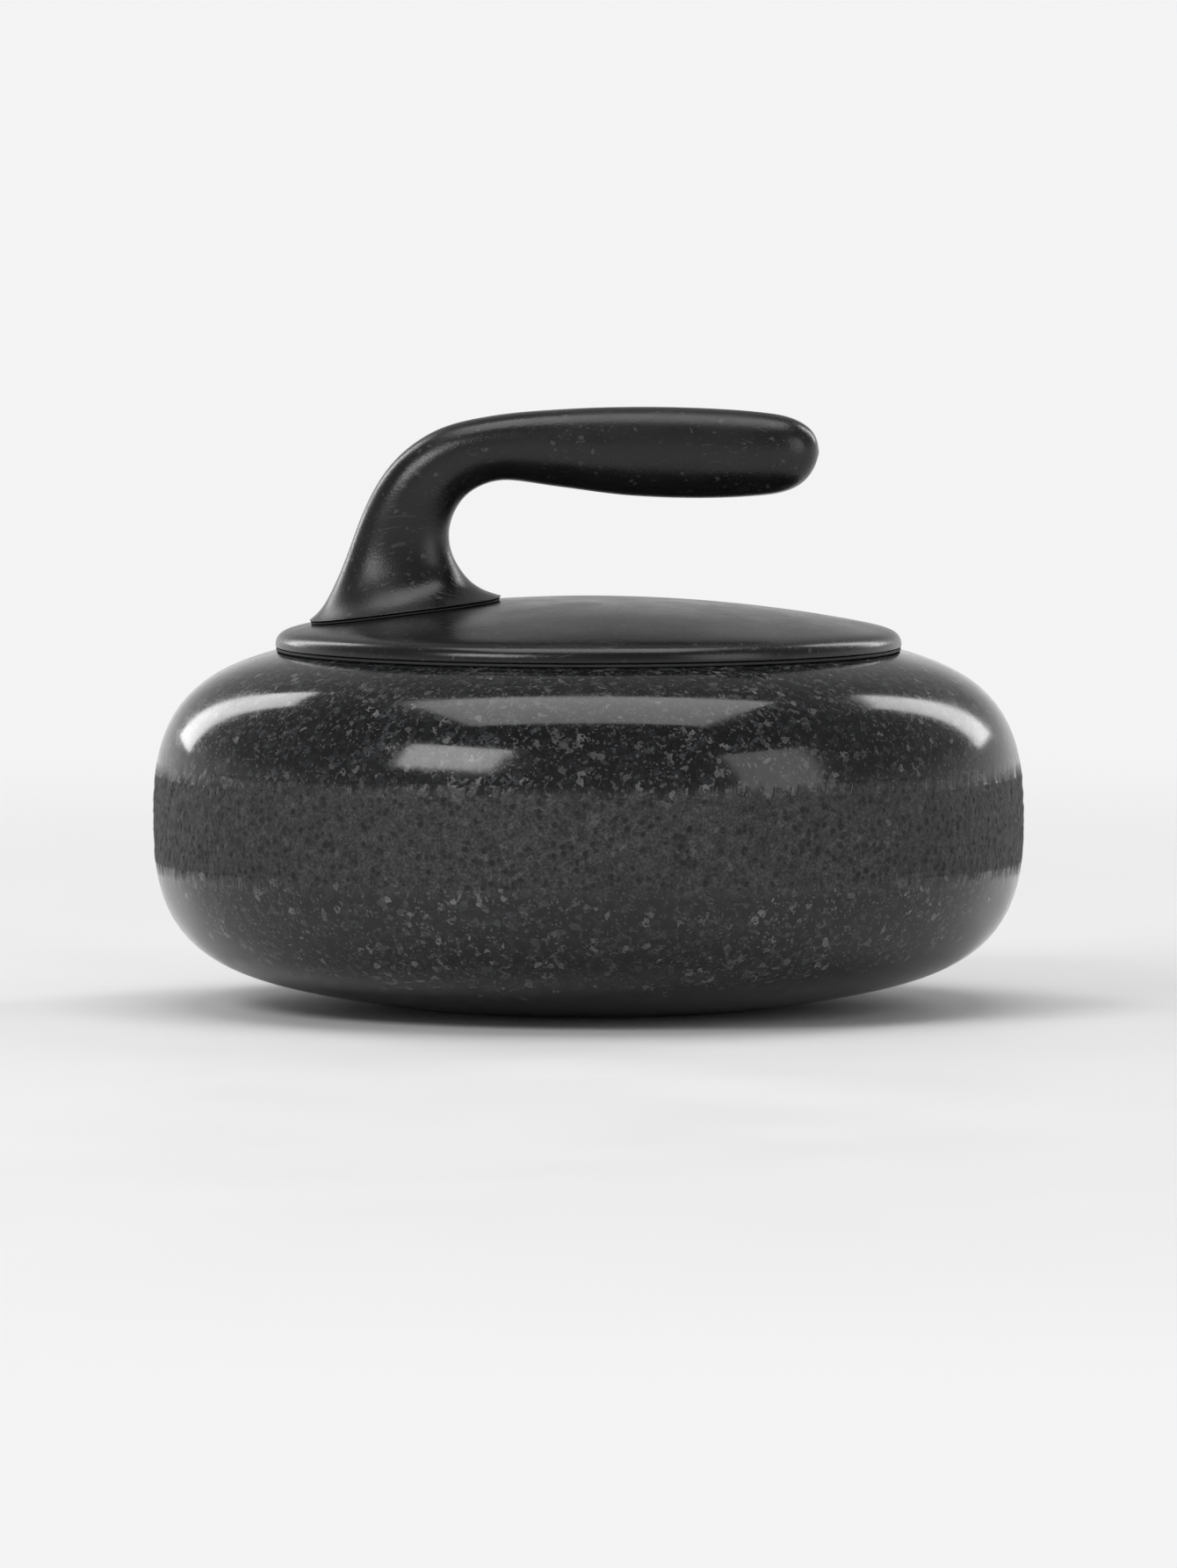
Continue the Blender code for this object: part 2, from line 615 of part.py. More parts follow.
def smooth_rings(keys):
    """The key rings with rings between them, on Catmull-Rom curves through each point."""
    rings = []
    last = len(keys) - 1
    for k in range(last):
        before, here = keys[max(k - 1, 0)], keys[k]
        there, after = keys[k + 1], keys[min(k + 2, last)]
        for step in range(RING_STEPS):
            t = step / RING_STEPS
            ring = []
            for p, q, r, s in zip(before, here, there, after):
                bend = (2 * p - 5 * q + 4 * r - s) * t**2 + (3 * q - p - 3 * r + s) * t**3
                ring.append((2 * q + (r - p) * t + bend) / 2)
            rings.append(ring)
    return rings + [keys[-1]]


def inner_rings(clearance, foot_lift):
    """Rings inside the shells' wall, from the foot to short of the rounded end."""
    keys = [foot_ring(FOOT_RINGS[0], wall_at(0) + clearance, foot_lift)]
    keys.append(foot_ring(FOOT_RINGS[1], wall_at(1) + clearance, CORE_CLEARANCE))
    for number, row in enumerate(NECK_RINGS, len(FOOT_RINGS)):
        keys.append(grip_ring(row, wall_at(number) + clearance))
    return smooth_rings(keys)


def build_grip_core(material, neck_cutters):
    """The cast core, whose foot rests on the cap and takes the neck screws."""
    above_dome = CORE_CLEARANCE - FOOT_RINGS[0][1] * MM
    middle_of_foot = foot_ring(FOOT_RINGS[0], FOOT_MIDDLE_INSET, above_dome)
    mesh = loft("grip_core", [middle_of_foot] + inner_rings(CORE_CLEARANCE, above_dome))
    core = add_object("grip_core", mesh, material)
    for cutter in neck_cutters:
        add_boolean(core, cutter, "DIFFERENCE")


def outer_rings():
    """Rings on the outside of the neck and grip, from the middle of the foot to the tip."""
    keys = [foot_ring(row, 0) for row in FOOT_RINGS]
    keys += [grip_ring(row, 0) for row in NECK_RINGS + END_RINGS]
    tip = Vector((GRIP_TIP[0], 0, GRIP_TIP[1])) * MM
    keys.append([tip] * RING_POINTS)
    return [foot_ring(FOOT_RINGS[0], FOOT_MIDDLE_INSET)] + smooth_rings(keys)


def side_block(name, side):
    """A hidden block that covers one side of the middle plane, up to half the gap past it."""
    width = STONE_RADIUS
    work = bmesh.new()
    bmesh.ops.create_cube(work, size=1)
    bmesh.ops.scale(work, verts=work.verts, vec=(2 * STONE_RADIUS, width, 2 * STONE_RADIUS))
    mesh = bpy.data.meshes.new(name)
    work.to_mesh(mesh)
    work.free()
    return add_helper(name, mesh, (0, side * (width - TOUCH_GAP) / 2, CAP_APEX))


def build_grip_shells(material):
    """The two moulded halves that close round the core and meet at the middle plane."""
    hollow = add_helper("grip_hollow", loft("grip_hollow", inner_rings(0, -HOLLOW_DROP)))
    outside = outer_rings()
    for name, side in (("grip_shell_left", 1), ("grip_shell_right", -1)):
        shell = add_object(name, loft(name, outside), material)
        add_boolean(shell, hollow, "DIFFERENCE")
        add_boolean(shell, side_block(f"{name}_block", -side), "DIFFERENCE")


def build_neck_foot_seal(material):
    """A thin soft ring between the shells' foot and the cap."""
    bottom = TOUCH_GAP - FOOT_RINGS[0][1] * MM
    top = bottom + SEAL_THICKNESS
    row = FOOT_RINGS[0]
    corners = ((SEAL_OUTER_INSET, bottom), (SEAL_OUTER_INSET, top),
               (SEAL_INNER_INSET, top), (SEAL_INNER_INSET, bottom))
    loops = [foot_ring(row, inset, lift) for inset, lift in corners]
    mesh = loft("neck_foot_seal", list(zip(*loops)), closed=True)
    add_object("neck_foot_seal", mesh, material)


def main():
    clear_scene()
    granite = make_material("granite", (0.035, 0.036, 0.04), 0.35)
    running_stone = make_material("running_stone", (0.06, 0.065, 0.075), 0.5)
    moulding = make_material("black_moulding", (0.012, 0.012, 0.013), 0.4)
    rubber = make_material("rubber", (0.02, 0.02, 0.02), 0.8)
    nylon = make_material("nylon", (0.75, 0.74, 0.7), 0.5)
    steel = make_material("zinc_plated_steel", (0.55, 0.56, 0.58), 0.35, 1.0)
    cast_metal = make_material("cast_aluminium", (0.5, 0.51, 0.52), 0.5, 1.0)
    brass = make_material("brass", (0.7, 0.5, 0.2), 0.35, 1.0)

    build_granite_body(granite)
    build_running_insert(running_stone)
    build_bolt_stack(steel, rubber, nylon)
    neck_cutters = neck_screw_cutters()
    build_seat_pad(rubber)
    build_base_plate(cast_metal, neck_cutters)
    build_threaded_insert(brass)
    build_cap_gasket(rubber)
    build_handle_cap(moulding, neck_cutters)
    build_cap_screws(steel)
    build_neck_screws(steel)
    build_neck_foot_seal(rubber)
    build_grip_core(cast_metal, neck_cutters)
    build_grip_shells(moulding)


main()
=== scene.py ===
import math
import random

import bmesh
import bpy
import numpy as np
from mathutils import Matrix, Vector, noise


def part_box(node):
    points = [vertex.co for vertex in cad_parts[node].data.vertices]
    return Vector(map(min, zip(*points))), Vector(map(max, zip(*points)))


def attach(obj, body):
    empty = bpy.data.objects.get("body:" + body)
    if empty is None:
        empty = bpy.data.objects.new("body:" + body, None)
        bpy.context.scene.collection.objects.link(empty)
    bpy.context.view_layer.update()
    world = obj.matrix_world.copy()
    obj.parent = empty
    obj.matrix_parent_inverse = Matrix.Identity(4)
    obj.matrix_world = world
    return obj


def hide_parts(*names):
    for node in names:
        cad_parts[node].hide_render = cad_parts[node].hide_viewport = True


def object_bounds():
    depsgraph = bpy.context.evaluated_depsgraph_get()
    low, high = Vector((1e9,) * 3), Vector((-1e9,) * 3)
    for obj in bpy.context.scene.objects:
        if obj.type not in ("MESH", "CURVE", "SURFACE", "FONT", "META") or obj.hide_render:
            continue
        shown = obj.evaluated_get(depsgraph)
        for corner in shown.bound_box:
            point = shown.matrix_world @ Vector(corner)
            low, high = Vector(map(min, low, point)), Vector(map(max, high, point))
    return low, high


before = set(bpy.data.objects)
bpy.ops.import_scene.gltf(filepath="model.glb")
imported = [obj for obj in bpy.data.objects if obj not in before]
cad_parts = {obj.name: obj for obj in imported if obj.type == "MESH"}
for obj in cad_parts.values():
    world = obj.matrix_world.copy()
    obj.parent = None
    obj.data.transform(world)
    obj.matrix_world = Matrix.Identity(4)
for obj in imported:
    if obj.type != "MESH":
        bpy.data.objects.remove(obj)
cad_low, cad_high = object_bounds()

# Lengths in this script are millimetres unless a name says otherwise. The model is in metres.
TO_METRES = 0.001
IMAGE_WIDTH, IMAGE_HEIGHT = 1340, 1785


def box_mm(node):
    low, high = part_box(node)
    return low / TO_METRES, high / TO_METRES


# ---- sizes that the CAD nodes give ----
stone_high = box_mm("granite_body")[1]
insert_high = box_mm("running_insert")[1]
cap_low, cap_high = box_mm("handle_cap")
gasket_high = box_mm("cap_gasket")[1]
STONE_RADIUS, STONE_HEIGHT = stone_high.x, stone_high.z
INSERT_RADIUS, INSERT_TOP = insert_high.x, insert_high.z
CAP_RADIUS, CAP_APEX, CAP_RIM_BOTTOM = cap_high.x, cap_high.z, cap_low.z

# ---- the part's own shape numbers ----
GAP = 0.3
GIRTH_START = 59.8
BAND_OUTER, BAND_INNER = 62.0, 56.0
UNDERSIDE_ANGLE = math.radians(8.6)
UNDERSIDE_HANDLE, GIRTH_HANDLE = 54.0, 48.0
UPPER_CUP_FLOOR, UPPER_CUP_RADIUS = 117.0, 47.0
UPPER_CUP_EDGE_HANDLE, UPPER_CUP_FLOOR_HANDLE = (-3.0, -5.0), 3.0
BOLT_HOLE_RADIUS = 8.0
WASHER_RECESS_RADIUS, WASHER_RECESS_CEILING = 20.0, 30.0
INSERT_HOLE_RADIUS, LOWER_CUP_HEIGHT = 24.0, 9.5
LOWER_CUP_ROOF_HANDLE, LOWER_CUP_EDGE_HANDLE = 24.0, (-4.0, 5.0)
# Rings part-way across the two widest flat faces inside the stone.
CUP_FLOOR_RING, RECESS_ROOF_RING = 30.0, 45.0
DOME_RADIUS, DOME_EDGE_RADIUS = 490.0, 95.5
CAP_RIM_TOP, CAP_WALL = 119.9, 2.5
CAP_DOME_HANDLE, CAP_RIM_HANDLE = (5.4, -1.2), 4.2
GASKET_WIDTH = 3.0
BOSS_RADIUS, BOSS_BOTTOM, BOSS_HOLE_RADIUS, BOSS_HOLE_DEPTH = 4.2, 124.5, 2.2, 8.4
NECK_HOLE_RADIUS = 2.8
BOSS_CUTTER_BOTTOM, NECK_CUTTER_BOTTOM, NECK_CUTTER_TOP = 120.0, 115.0, 140.0
# The grip's rings: (x, z) of the outer edge, (x, z) of the inner edge, half the width along Y.
# In the foot's two rings z is a height above the dome.
FOOT_RINGS = (
    (-92.8, 1.0, -29.2, 1.0, 28.1),
    (-92.3, 1.7, -30.0, 2.0, 27.5),
)
NECK_RINGS = (
    (-88.5, 132.2, -35.8, 138.4, 22.5),
    (-86.0, 136.7, -39.7, 141.1, 18.5),
    (-83.0, 143.1, -43.5, 146.1, 15.2),
    (-80.4, 149.6, -45.8, 151.1, 13.4),
    (-77.9, 156.6, -46.5, 156.6, 12.6),
    (-74.6, 165.1, -45.7, 161.4, 12.3),
    (-69.7, 174.5, -43.6, 166.1, 12.2),
    (-62.5, 183.4, -40.5, 169.9, 12.1),
    (-50.0, 191.7, -35.6, 173.0, 12.2),
    (-32.0, 196.2, -28.5, 174.8, 12.5),
    (-9.4, 198.3, -10.7, 172.7, 13.2),
    (14.0, 199.1, 13.1, 169.7, 13.8),
    (38.0, 198.7, 37.0, 168.8, 14.0),
    (56.8, 197.4, 54.0, 169.4, 13.6),
)
END_RINGS = (
    (66.5, 195.9, 64.0, 170.5, 12.6),
    (72.3, 193.3, 70.5, 173.0, 10.4),
    (75.3, 190.3, 74.1, 176.8, 7.4),
    (76.5, 187.1, 76.1, 180.8, 3.6),
)
GRIP_TIP = (76.7, 183.9)
RING_SQUARENESS = 2.3
SHELL_WALL, FOOT_EXTRA_WALL, FOOT_EXTRA_RINGS = 3.0, 1.3, 4
SEAL_INSETS, SEAL_THICKNESS = (0.4, 5.2), 0.4
PARTING_FILLET = 0.45
# The foot's rounded lip, from its edge on the seal upwards: (inset, lift).
FOOT_LIP = ((0.6, 0.0), (0.2, 0.12), (0.0, 0.42))
WASHER_BORE_RADIUS = 5.4
SPRING_WASHER_RADII, SPRING_WASHER_RISE = (5.3, 9.0), 0.3
SPRING_WASHER_OPENING = math.radians(10)
BOLT_RADIUS, BOLT_HEAD_ACROSS_FLATS, BOLT_HEAD_HEIGHT = 5.0, 17.0, 6.4
THREAD_PITCH, THREAD_DEPTH, THREAD_LENGTH, THREAD_RUN_IN = 1.5, 0.62, 42.0, 3.0

# ---- how the striking band is worked ----
STRIKING_MIDDLE = STONE_HEIGHT / 2
STRIKING_HALF = 15.0
PECK_DEPTH = 0.5
# The pits are noises of (size, share of the depth) over a share that is worked everywhere.
PIT_NOISES, WORKED_EVERYWHERE = ((2.7, 0.75), (6.5, 0.4)), 0.42
RAGGED_SIZE, RAGGED_REACH, BAND_EDGE_WIDTH = 3.1, 1.3, 1.1
BRUISE_SEED, BRUISE_COUNT, BRUISE_DEPTH = 11, 26, 0.34

# ---- how finely the pieces are divided ----
STONE_SEGMENTS, TURNED_SEGMENTS, SEAL_SEGMENTS = 720, 320, 160
WASHER_SEGMENTS, BOLT_SEGMENTS, THREAD_ROWS_PER_TURN = 128, 96, 6
SMOOTH_SPACING, PECKED_SPACING, INSERT_EDGE_SPACING = 4.0, 1.0, 1.6
GRIP_RING_SPACING, EASING_PASSES, EASED_OVER = 1.6, 6, 6


# ==== mesh tools ====


def mesh_object(name, points, faces, sharp_degrees=40):
    """An object from points in millimetres, with its faces turned outwards and smooth."""
    mesh = bpy.data.meshes.new(name)
    mesh.from_pydata((np.asarray(points) * TO_METRES).tolist(), [], faces)
    work = bmesh.new()
    work.from_mesh(mesh)
    bmesh.ops.remove_doubles(work, verts=work.verts, dist=1e-6)
    bmesh.ops.recalc_face_normals(work, faces=work.faces)
    work.to_mesh(mesh)
    work.free()
    mesh.shade_smooth()
    mesh.set_sharp_from_angle(angle=math.radians(sharp_degrees))
    obj = bpy.data.objects.new(name, mesh)
    bpy.context.scene.collection.objects.link(obj)
    return obj


def bezier(p0, p1, p2, p3, count):
    """This many points along a cubic curve from p0 to p3."""
    t = np.linspace(0, 1, count)[:, None]
    p0, p1, p2, p3 = (np.array(p, float) for p in (p0, p1, p2, p3))
    return (1 - t) ** 3 * p0 + 3 * (1 - t) ** 2 * t * p1 + 3 * (1 - t) * t**2 * p2 + t**3 * p3


def evenly(points, spacing):
    """The same line with points about this far apart."""
    points = np.asarray(points, float)
    run = np.concatenate([[0], np.cumsum(np.linalg.norm(np.diff(points, axis=0), axis=1))])
    count = max(2, round(run[-1] / spacing) + 1)
    at = np.linspace(0, run[-1], count)
    return np.stack([np.interp(at, run, points[:, axis]) for axis in (0, 1)], axis=1)


def rounded(corners, steps=5):
    """A closed outline from (radius, height, fillet) corners, each fillet a short curve."""
    outline = []
    count = len(corners)
    for i, (radius, height, fillet) in enumerate(corners):
        here = np.array((radius, height))
        if not fillet:
            outline.append(here)
            continue
        before = np.array(corners[i - 1][:2]) - here
        after = np.array(corners[(i + 1) % count][:2]) - here
        start = here + before / np.linalg.norm(before) * fillet
        end = here + after / np.linalg.norm(after) * fillet
        for t in np.linspace(0, 1, steps):
            outline.append((1 - t) ** 2 * start + 2 * t * (1 - t) * here + t**2 * end)
    return np.array(outline)


def full_turn(segments):
    return np.arange(segments) * (math.tau / segments)


def turned_points(outline, segments):
    """The outline's points at each angle: a row for each point, a column for each angle."""
    angles = full_turn(segments)
    radius, height = outline[:, 0][:, None], outline[:, 1][:, None]
    return np.stack(
        [radius * np.cos(angles), radius * np.sin(angles), height + 0 * angles], axis=2
    )


def grid_faces(rows, columns, rows_close, columns_close):
    """Quads over rows and columns of points, joined end to start where they close."""
    faces = []
    for i in range(rows if rows_close else rows - 1):
        j = (i + 1) % rows
        for k in range(columns if columns_close else columns - 1):
            m = (k + 1) % columns
            faces.append((i * columns + k, i * columns + m, j * columns + m, j * columns + k))
    return faces


def turned(name, outline, segments):
    """A closed outline of (radius, height) points turned once round the Z axis."""
    points = turned_points(outline, segments)
    faces = grid_faces(len(outline), segments, True, True)
    return mesh_object(name, points.reshape(-1, 3), faces)


def end_caps(rows, columns):
    """The two faces that close a tube of rings at its first and last ring."""
    return [tuple(range(columns)), tuple(range((rows - 1) * columns, rows * columns))]


def plain_corners(points):
    """Corners without a fillet."""
    return [(float(radius), float(height), 0) for radius, height in points]


def stand_for(piece, node):
    """The piece takes the CAD node's place and rides with it."""
    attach(piece, "root")
    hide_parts(node)
    return piece


# ==== the stone ====


def lower_shoulder():
    """The lower outline, finely divided, from the running band out and up to the girth."""
    run = UNDERSIDE_HANDLE * np.array((math.cos(UNDERSIDE_ANGLE), math.sin(UNDERSIDE_ANGLE)))
    start = np.array((BAND_OUTER, 0.0))
    end = np.array((STONE_RADIUS, GIRTH_START))
    return bezier(start, start + run, end - (0, GIRTH_HANDLE), end, 1200)


SHOULDER = lower_shoulder()


def shoulder_height(radius):
    return float(np.interp(radius, SHOULDER[:, 0], SHOULDER[:, 1]))


def outer_outline():
    """The stone's outside from the insert's edge up to the upper band, closer where it is pecked."""
    edge = INSERT_RADIUS + GAP
    whole = np.concatenate([SHOULDER, SHOULDER[::-1] * (1, -1) + (0, STONE_HEIGHT)])
    above = whole[:, 1] > shoulder_height(edge)
    whole = np.concatenate([[(edge, shoulder_height(edge))], whole[above]])
    low = STRIKING_MIDDLE - STRIKING_HALF
    high = STRIKING_MIDDLE + STRIKING_HALF
    below = evenly(whole[whole[:, 1] <= low], SMOOTH_SPACING)
    inside = evenly(whole[(whole[:, 1] >= low) & (whole[:, 1] <= high)], PECKED_SPACING)
    over = evenly(whole[whole[:, 1] >= high], SMOOTH_SPACING)
    return np.concatenate([below[:-1], inside, over[1:]])


def bruises():
    """Seeded places (angle, height, radius) where the band's edges have spalled."""
    draw = random.Random(BRUISE_SEED)
    places = []
    for _ in range(BRUISE_COUNT):
        side = draw.choice((-1, 1))
        height = STRIKING_MIDDLE + side * (STRIKING_HALF + draw.uniform(-1.5, 1.2))
        places.append((draw.uniform(0, math.tau), height, draw.uniform(1.6, 4.2)))
    return places


def zero_to_one(value):
    return min(1.0, max(0.0, value))


def peck(points):
    """Moves the striking band's points inwards.

    It returns how far each point is worked, and its depth as a share of a full pit's."""
    worked = np.zeros(points.shape[:2], np.float32)
    pits = np.zeros(points.shape[:2], np.float32)
    marks = bruises()
    for i, row in enumerate(points):
        height = row[0][2]
        radius = math.hypot(row[0][0], row[0][1])
        from_middle = abs(height - STRIKING_MIDDLE)
        if from_middle > STRIKING_HALF + 7 or radius < STONE_RADIUS - 12:
            continue
        for j, point in enumerate(row):
            place = Vector(point)
            ragged = RAGGED_REACH * noise.noise(place / RAGGED_SIZE)
            share = zero_to_one((STRIKING_HALF + ragged - from_middle) / BAND_EDGE_WIDTH + 0.5)
            hit = sum(weight * noise.noise(place / size) for size, weight in PIT_NOISES)
            depth = share * PECK_DEPTH * zero_to_one(WORKED_EVERYWHERE + hit)
            for angle, mark_height, mark_radius in marks:
                turn = (math.atan2(point[1], point[0]) - angle + math.pi) % math.tau - math.pi
                away = math.hypot(turn * radius, (height - mark_height) * 1.5) / mark_radius
                if away < 1:
                    spall = (1 - away * away) * (0.75 + 0.5 * noise.noise(place / 1.4))
                    depth += BRUISE_DEPTH * spall
                    share = max(share, min(1.0, 2.2 * spall))
            worked[i, j] = share
            pits[i, j] = depth / PECK_DEPTH
            point[:2] *= (radius - depth) / radius
    return worked, pits


def point_values(obj, name, values):
    """Keeps a number on each vertex, in the vertices' own order."""
    attribute = obj.data.attributes.new(name, "FLOAT", "POINT")
    attribute.data.foreach_set("value", np.asarray(values, np.float32).ravel())


def make_granite_body():
    recess_radius = INSERT_RADIUS + GAP
    recess_top = INSERT_TOP + GAP
    outside = outer_outline()
    cup_side = bezier(
        (BAND_INNER, STONE_HEIGHT),
        (BAND_INNER + UPPER_CUP_EDGE_HANDLE[0], STONE_HEIGHT + UPPER_CUP_EDGE_HANDLE[1]),
        (UPPER_CUP_RADIUS + UPPER_CUP_FLOOR_HANDLE, UPPER_CUP_FLOOR),
        (UPPER_CUP_RADIUS, UPPER_CUP_FLOOR),
        12,
    )
    corners = [(*outside[0], 0.5)] + plain_corners(outside[1:-1]) + [(*outside[-1], 0.9)]
    corners += [(*cup_side[0], 0.9)] + plain_corners(cup_side[2:])
    corners += [
        (CUP_FLOOR_RING, UPPER_CUP_FLOOR, 0),
        (BOLT_HOLE_RADIUS, UPPER_CUP_FLOOR, 0.8),
        (BOLT_HOLE_RADIUS, WASHER_RECESS_CEILING, 0.8),
        (WASHER_RECESS_RADIUS, WASHER_RECESS_CEILING, 0.6),
        (WASHER_RECESS_RADIUS, recess_top, 0.8),
        (RECESS_ROOF_RING, recess_top, 0),
        (recess_radius, recess_top, 0.8),
    ]
    outline = rounded(corners)
    points = turned_points(outline, STONE_SEGMENTS)
    worked, pits = peck(points)
    faces = grid_faces(len(outline), STONE_SEGMENTS, True, True)
    stone = mesh_object("granite_body_surface", points.reshape(-1, 3), faces)
    point_values(stone, "worked", worked)
    point_values(stone, "pits", pits)
    return stand_for(stone, "granite_body")


def make_running_insert():
    edge = evenly(SHOULDER[SHOULDER[:, 0] <= INSERT_RADIUS], INSERT_EDGE_SPACING)
    edge[-1] = (INSERT_RADIUS, shoulder_height(INSERT_RADIUS))
    cup = bezier(
        (INSERT_HOLE_RADIUS, LOWER_CUP_HEIGHT),
        (INSERT_HOLE_RADIUS + LOWER_CUP_ROOF_HANDLE, LOWER_CUP_HEIGHT),
        (BAND_INNER + LOWER_CUP_EDGE_HANDLE[0], LOWER_CUP_EDGE_HANDLE[1]),
        (BAND_INNER, 0),
        26,
    )
    corners = [(INSERT_HOLE_RADIUS, INSERT_TOP, 0.6), (*cup[0], 0.9)]
    corners += plain_corners(cup[1:-1]) + [(*cup[-1], 0.7)]
    corners += plain_corners(np.linspace((BAND_INNER + 1, 0), (BAND_OUTER - 1, 0), 5))
    corners += [(*edge[0], 0.7)] + plain_corners(edge[1:-1]) + [(*edge[-1], 0.5)]
    corners += [(INSERT_RADIUS, INSERT_TOP, 0.6)]
    insert = turned("running_insert_surface", rounded(corners), TURNED_SEGMENTS)
    x, y, height = np.array([vertex.co for vertex in insert.data.vertices]).T / TO_METRES
    radius = np.hypot(x, y)
    honed = (radius > BAND_INNER - 0.4) & (radius < BAND_OUTER + 1.2) & (height < 0.6)
    point_values(insert, "worked", honed)
    point_values(insert, "pits", honed * 0)
    return stand_for(insert, "running_insert")


# ==== the cap and its gasket ====


def dome_height(radius, below=0.0):
    return CAP_APEX - DOME_RADIUS + np.sqrt((DOME_RADIUS - below) ** 2 - np.square(radius))


def cap_skin(inset, dome_count, shoulder_count):
    """The cap's dome and shoulder, from the axis down to the rim, this far under its outside."""
    radii = np.linspace(0, DOME_EDGE_RADIUS, dome_count)
    dome = np.stack([radii, dome_height(radii, inset)], axis=1)
    start = np.array((DOME_EDGE_RADIUS, dome_height(DOME_EDGE_RADIUS, inset)))
    end = np.array((CAP_RADIUS - inset, CAP_RIM_TOP))
    along = start + (CAP_DOME_HANDLE[0] - inset / 2, CAP_DOME_HANDLE[1])
    up = end + (0, CAP_RIM_HANDLE - inset / 2)
    return np.concatenate([dome, bezier(start, along, up, end, shoulder_count)[1:]])


def studs(name, places, radius, bottom, top, segments=32):
    """Upright rods as one helper mesh."""
    points, faces = [], []
    for x, y in places:
        first = len(points)
        for height in (bottom, top):
            points += [
                (x + radius * math.cos(angle), y + radius * math.sin(angle), height)
                for angle in full_turn(segments)
            ]
        for i in range(segments):
            j = (i + 1) % segments
            faces.append((first + i, first + j, first + segments + j, first + segments + i))
        faces.append(tuple(range(first, first + segments)))
        faces.append(tuple(range(first + segments, first + 2 * segments)))
    return mesh_object(name, points, faces)


def cut(obj, helper, operation):
    """Applies a Boolean at once and removes its helper."""
    modifier = obj.modifiers.new("cut", "BOOLEAN")
    modifier.operation = operation
    modifier.solver = "EXACT"
    modifier.object = helper
    graph = bpy.context.evaluated_depsgraph_get()
    mesh = bpy.data.meshes.new_from_object(obj.evaluated_get(graph))
    obj.modifiers.clear()
    obj.data = mesh
    bpy.data.objects.remove(helper)


def screw_places(kind):
    """The (x, y) of each of the four screws of one kind."""
    boxes = [box_mm(f"{kind}_{number}") for number in range(1, 5)]
    return [((low.x + high.x) / 2, (low.y + high.y) / 2) for low, high in boxes]


def make_handle_cap():
    corners = plain_corners(cap_skin(0, 30, 16))
    corners += [(CAP_RADIUS, CAP_RIM_BOTTOM, 0.35), (CAP_RADIUS - CAP_WALL, CAP_RIM_BOTTOM, 0.35)]
    corners += plain_corners(cap_skin(CAP_WALL, 14, 8)[::-1])
    cap = turned("handle_cap_surface", rounded(corners), TURNED_SEGMENTS)
    bosses, holes = screw_places("cap_screw"), screw_places("neck_screw")
    boss_top = dome_height(math.hypot(*bosses[0]), CAP_WALL / 2)
    cut(cap, studs("boss", bosses, BOSS_RADIUS, BOSS_BOTTOM, boss_top), "UNION")
    drill_top = BOSS_BOTTOM + BOSS_HOLE_DEPTH
    boss_drills = studs("boss_hole", bosses, BOSS_HOLE_RADIUS, BOSS_CUTTER_BOTTOM, drill_top)
    cut(cap, boss_drills, "DIFFERENCE")
    neck_drills = studs("neck_hole", holes, NECK_HOLE_RADIUS, NECK_CUTTER_BOTTOM, NECK_CUTTER_TOP)
    cut(cap, neck_drills, "DIFFERENCE")
    cap.data.shade_smooth()
    cap.data.set_sharp_from_angle(angle=math.radians(40))
    return stand_for(cap, "handle_cap")


def make_gasket():
    outer = gasket_high.x
    inner = outer - GASKET_WIDTH
    corners = [
        (inner, STONE_HEIGHT - shoulder_height(inner) + GAP, 0.4),
        (outer, STONE_HEIGHT - shoulder_height(outer) + GAP, 0.4),
        (outer, gasket_high.z, 0.5),
        (inner, gasket_high.z, 0.5),
    ]
    gasket = turned("cap_gasket_surface", rounded(corners), TURNED_SEGMENTS)
    return stand_for(gasket, "cap_gasket")


# ==== the neck and grip ====


def half_angles():
    """Angles across one half of a ring, closest at the two parting edges."""
    edge = [math.asin(share ** (RING_SQUARENESS / 2)) for share in (0, 0.004, 0.012, 0.023, 0.036)]
    middle = list(np.linspace(math.radians(4), math.pi / 2, 25))[:-1]
    first = edge + middle
    return np.array(first + [math.pi / 2] + [math.pi - angle for angle in reversed(first)])


def half_ring(row, inset, side, fillet, angles, shift=0.0):
    """Half a ring's points, drawn in by the inset and kept clear of the middle plane."""
    outer = np.array((row[0] + shift, row[1]))
    inner = np.array((row[2] + shift, row[3]))
    middle = (outer + inner) / 2
    reach = np.linalg.norm(outer - inner) / 2
    direction = (outer - middle) / reach
    reach = max(reach - inset, 0.05)
    width = max(row[4] - inset, 0.05)
    power = 2 / RING_SQUARENESS
    along = np.sign(np.cos(angles)) * np.abs(np.cos(angles)) ** power * reach
    across = np.abs(np.sin(angles)) ** power * width
    if fillet:
        short = np.clip(fillet - across, 0, fillet)
        along -= np.sign(along) * (fillet - np.sqrt(fillet**2 - short**2))
    across = GAP / 2 + across * (width - GAP / 2) / width
    x = middle[0] + direction[0] * along
    z = middle[1] + direction[1] * along
    return np.stack([x, side * across, z], axis=1)


def half_foot(row, inset, side, fillet, angles, lift=0.0):
    """Half a ring laid on the dome, at the height that the row says and this much more."""
    ring = half_ring(row, inset, side, fillet, angles)
    ring[:, 2] = dome_height(np.hypot(ring[:, 0], ring[:, 1])) + row[1] + lift
    return ring


def ring_counts(keys, spacing):
    """How many rings each stretch between two key rings takes to lie about this far apart."""
    reach = [np.linalg.norm(there - here, axis=1).max() for here, there in zip(keys, keys[1:])]
    return [max(2, round(length / spacing)) for length in reach]


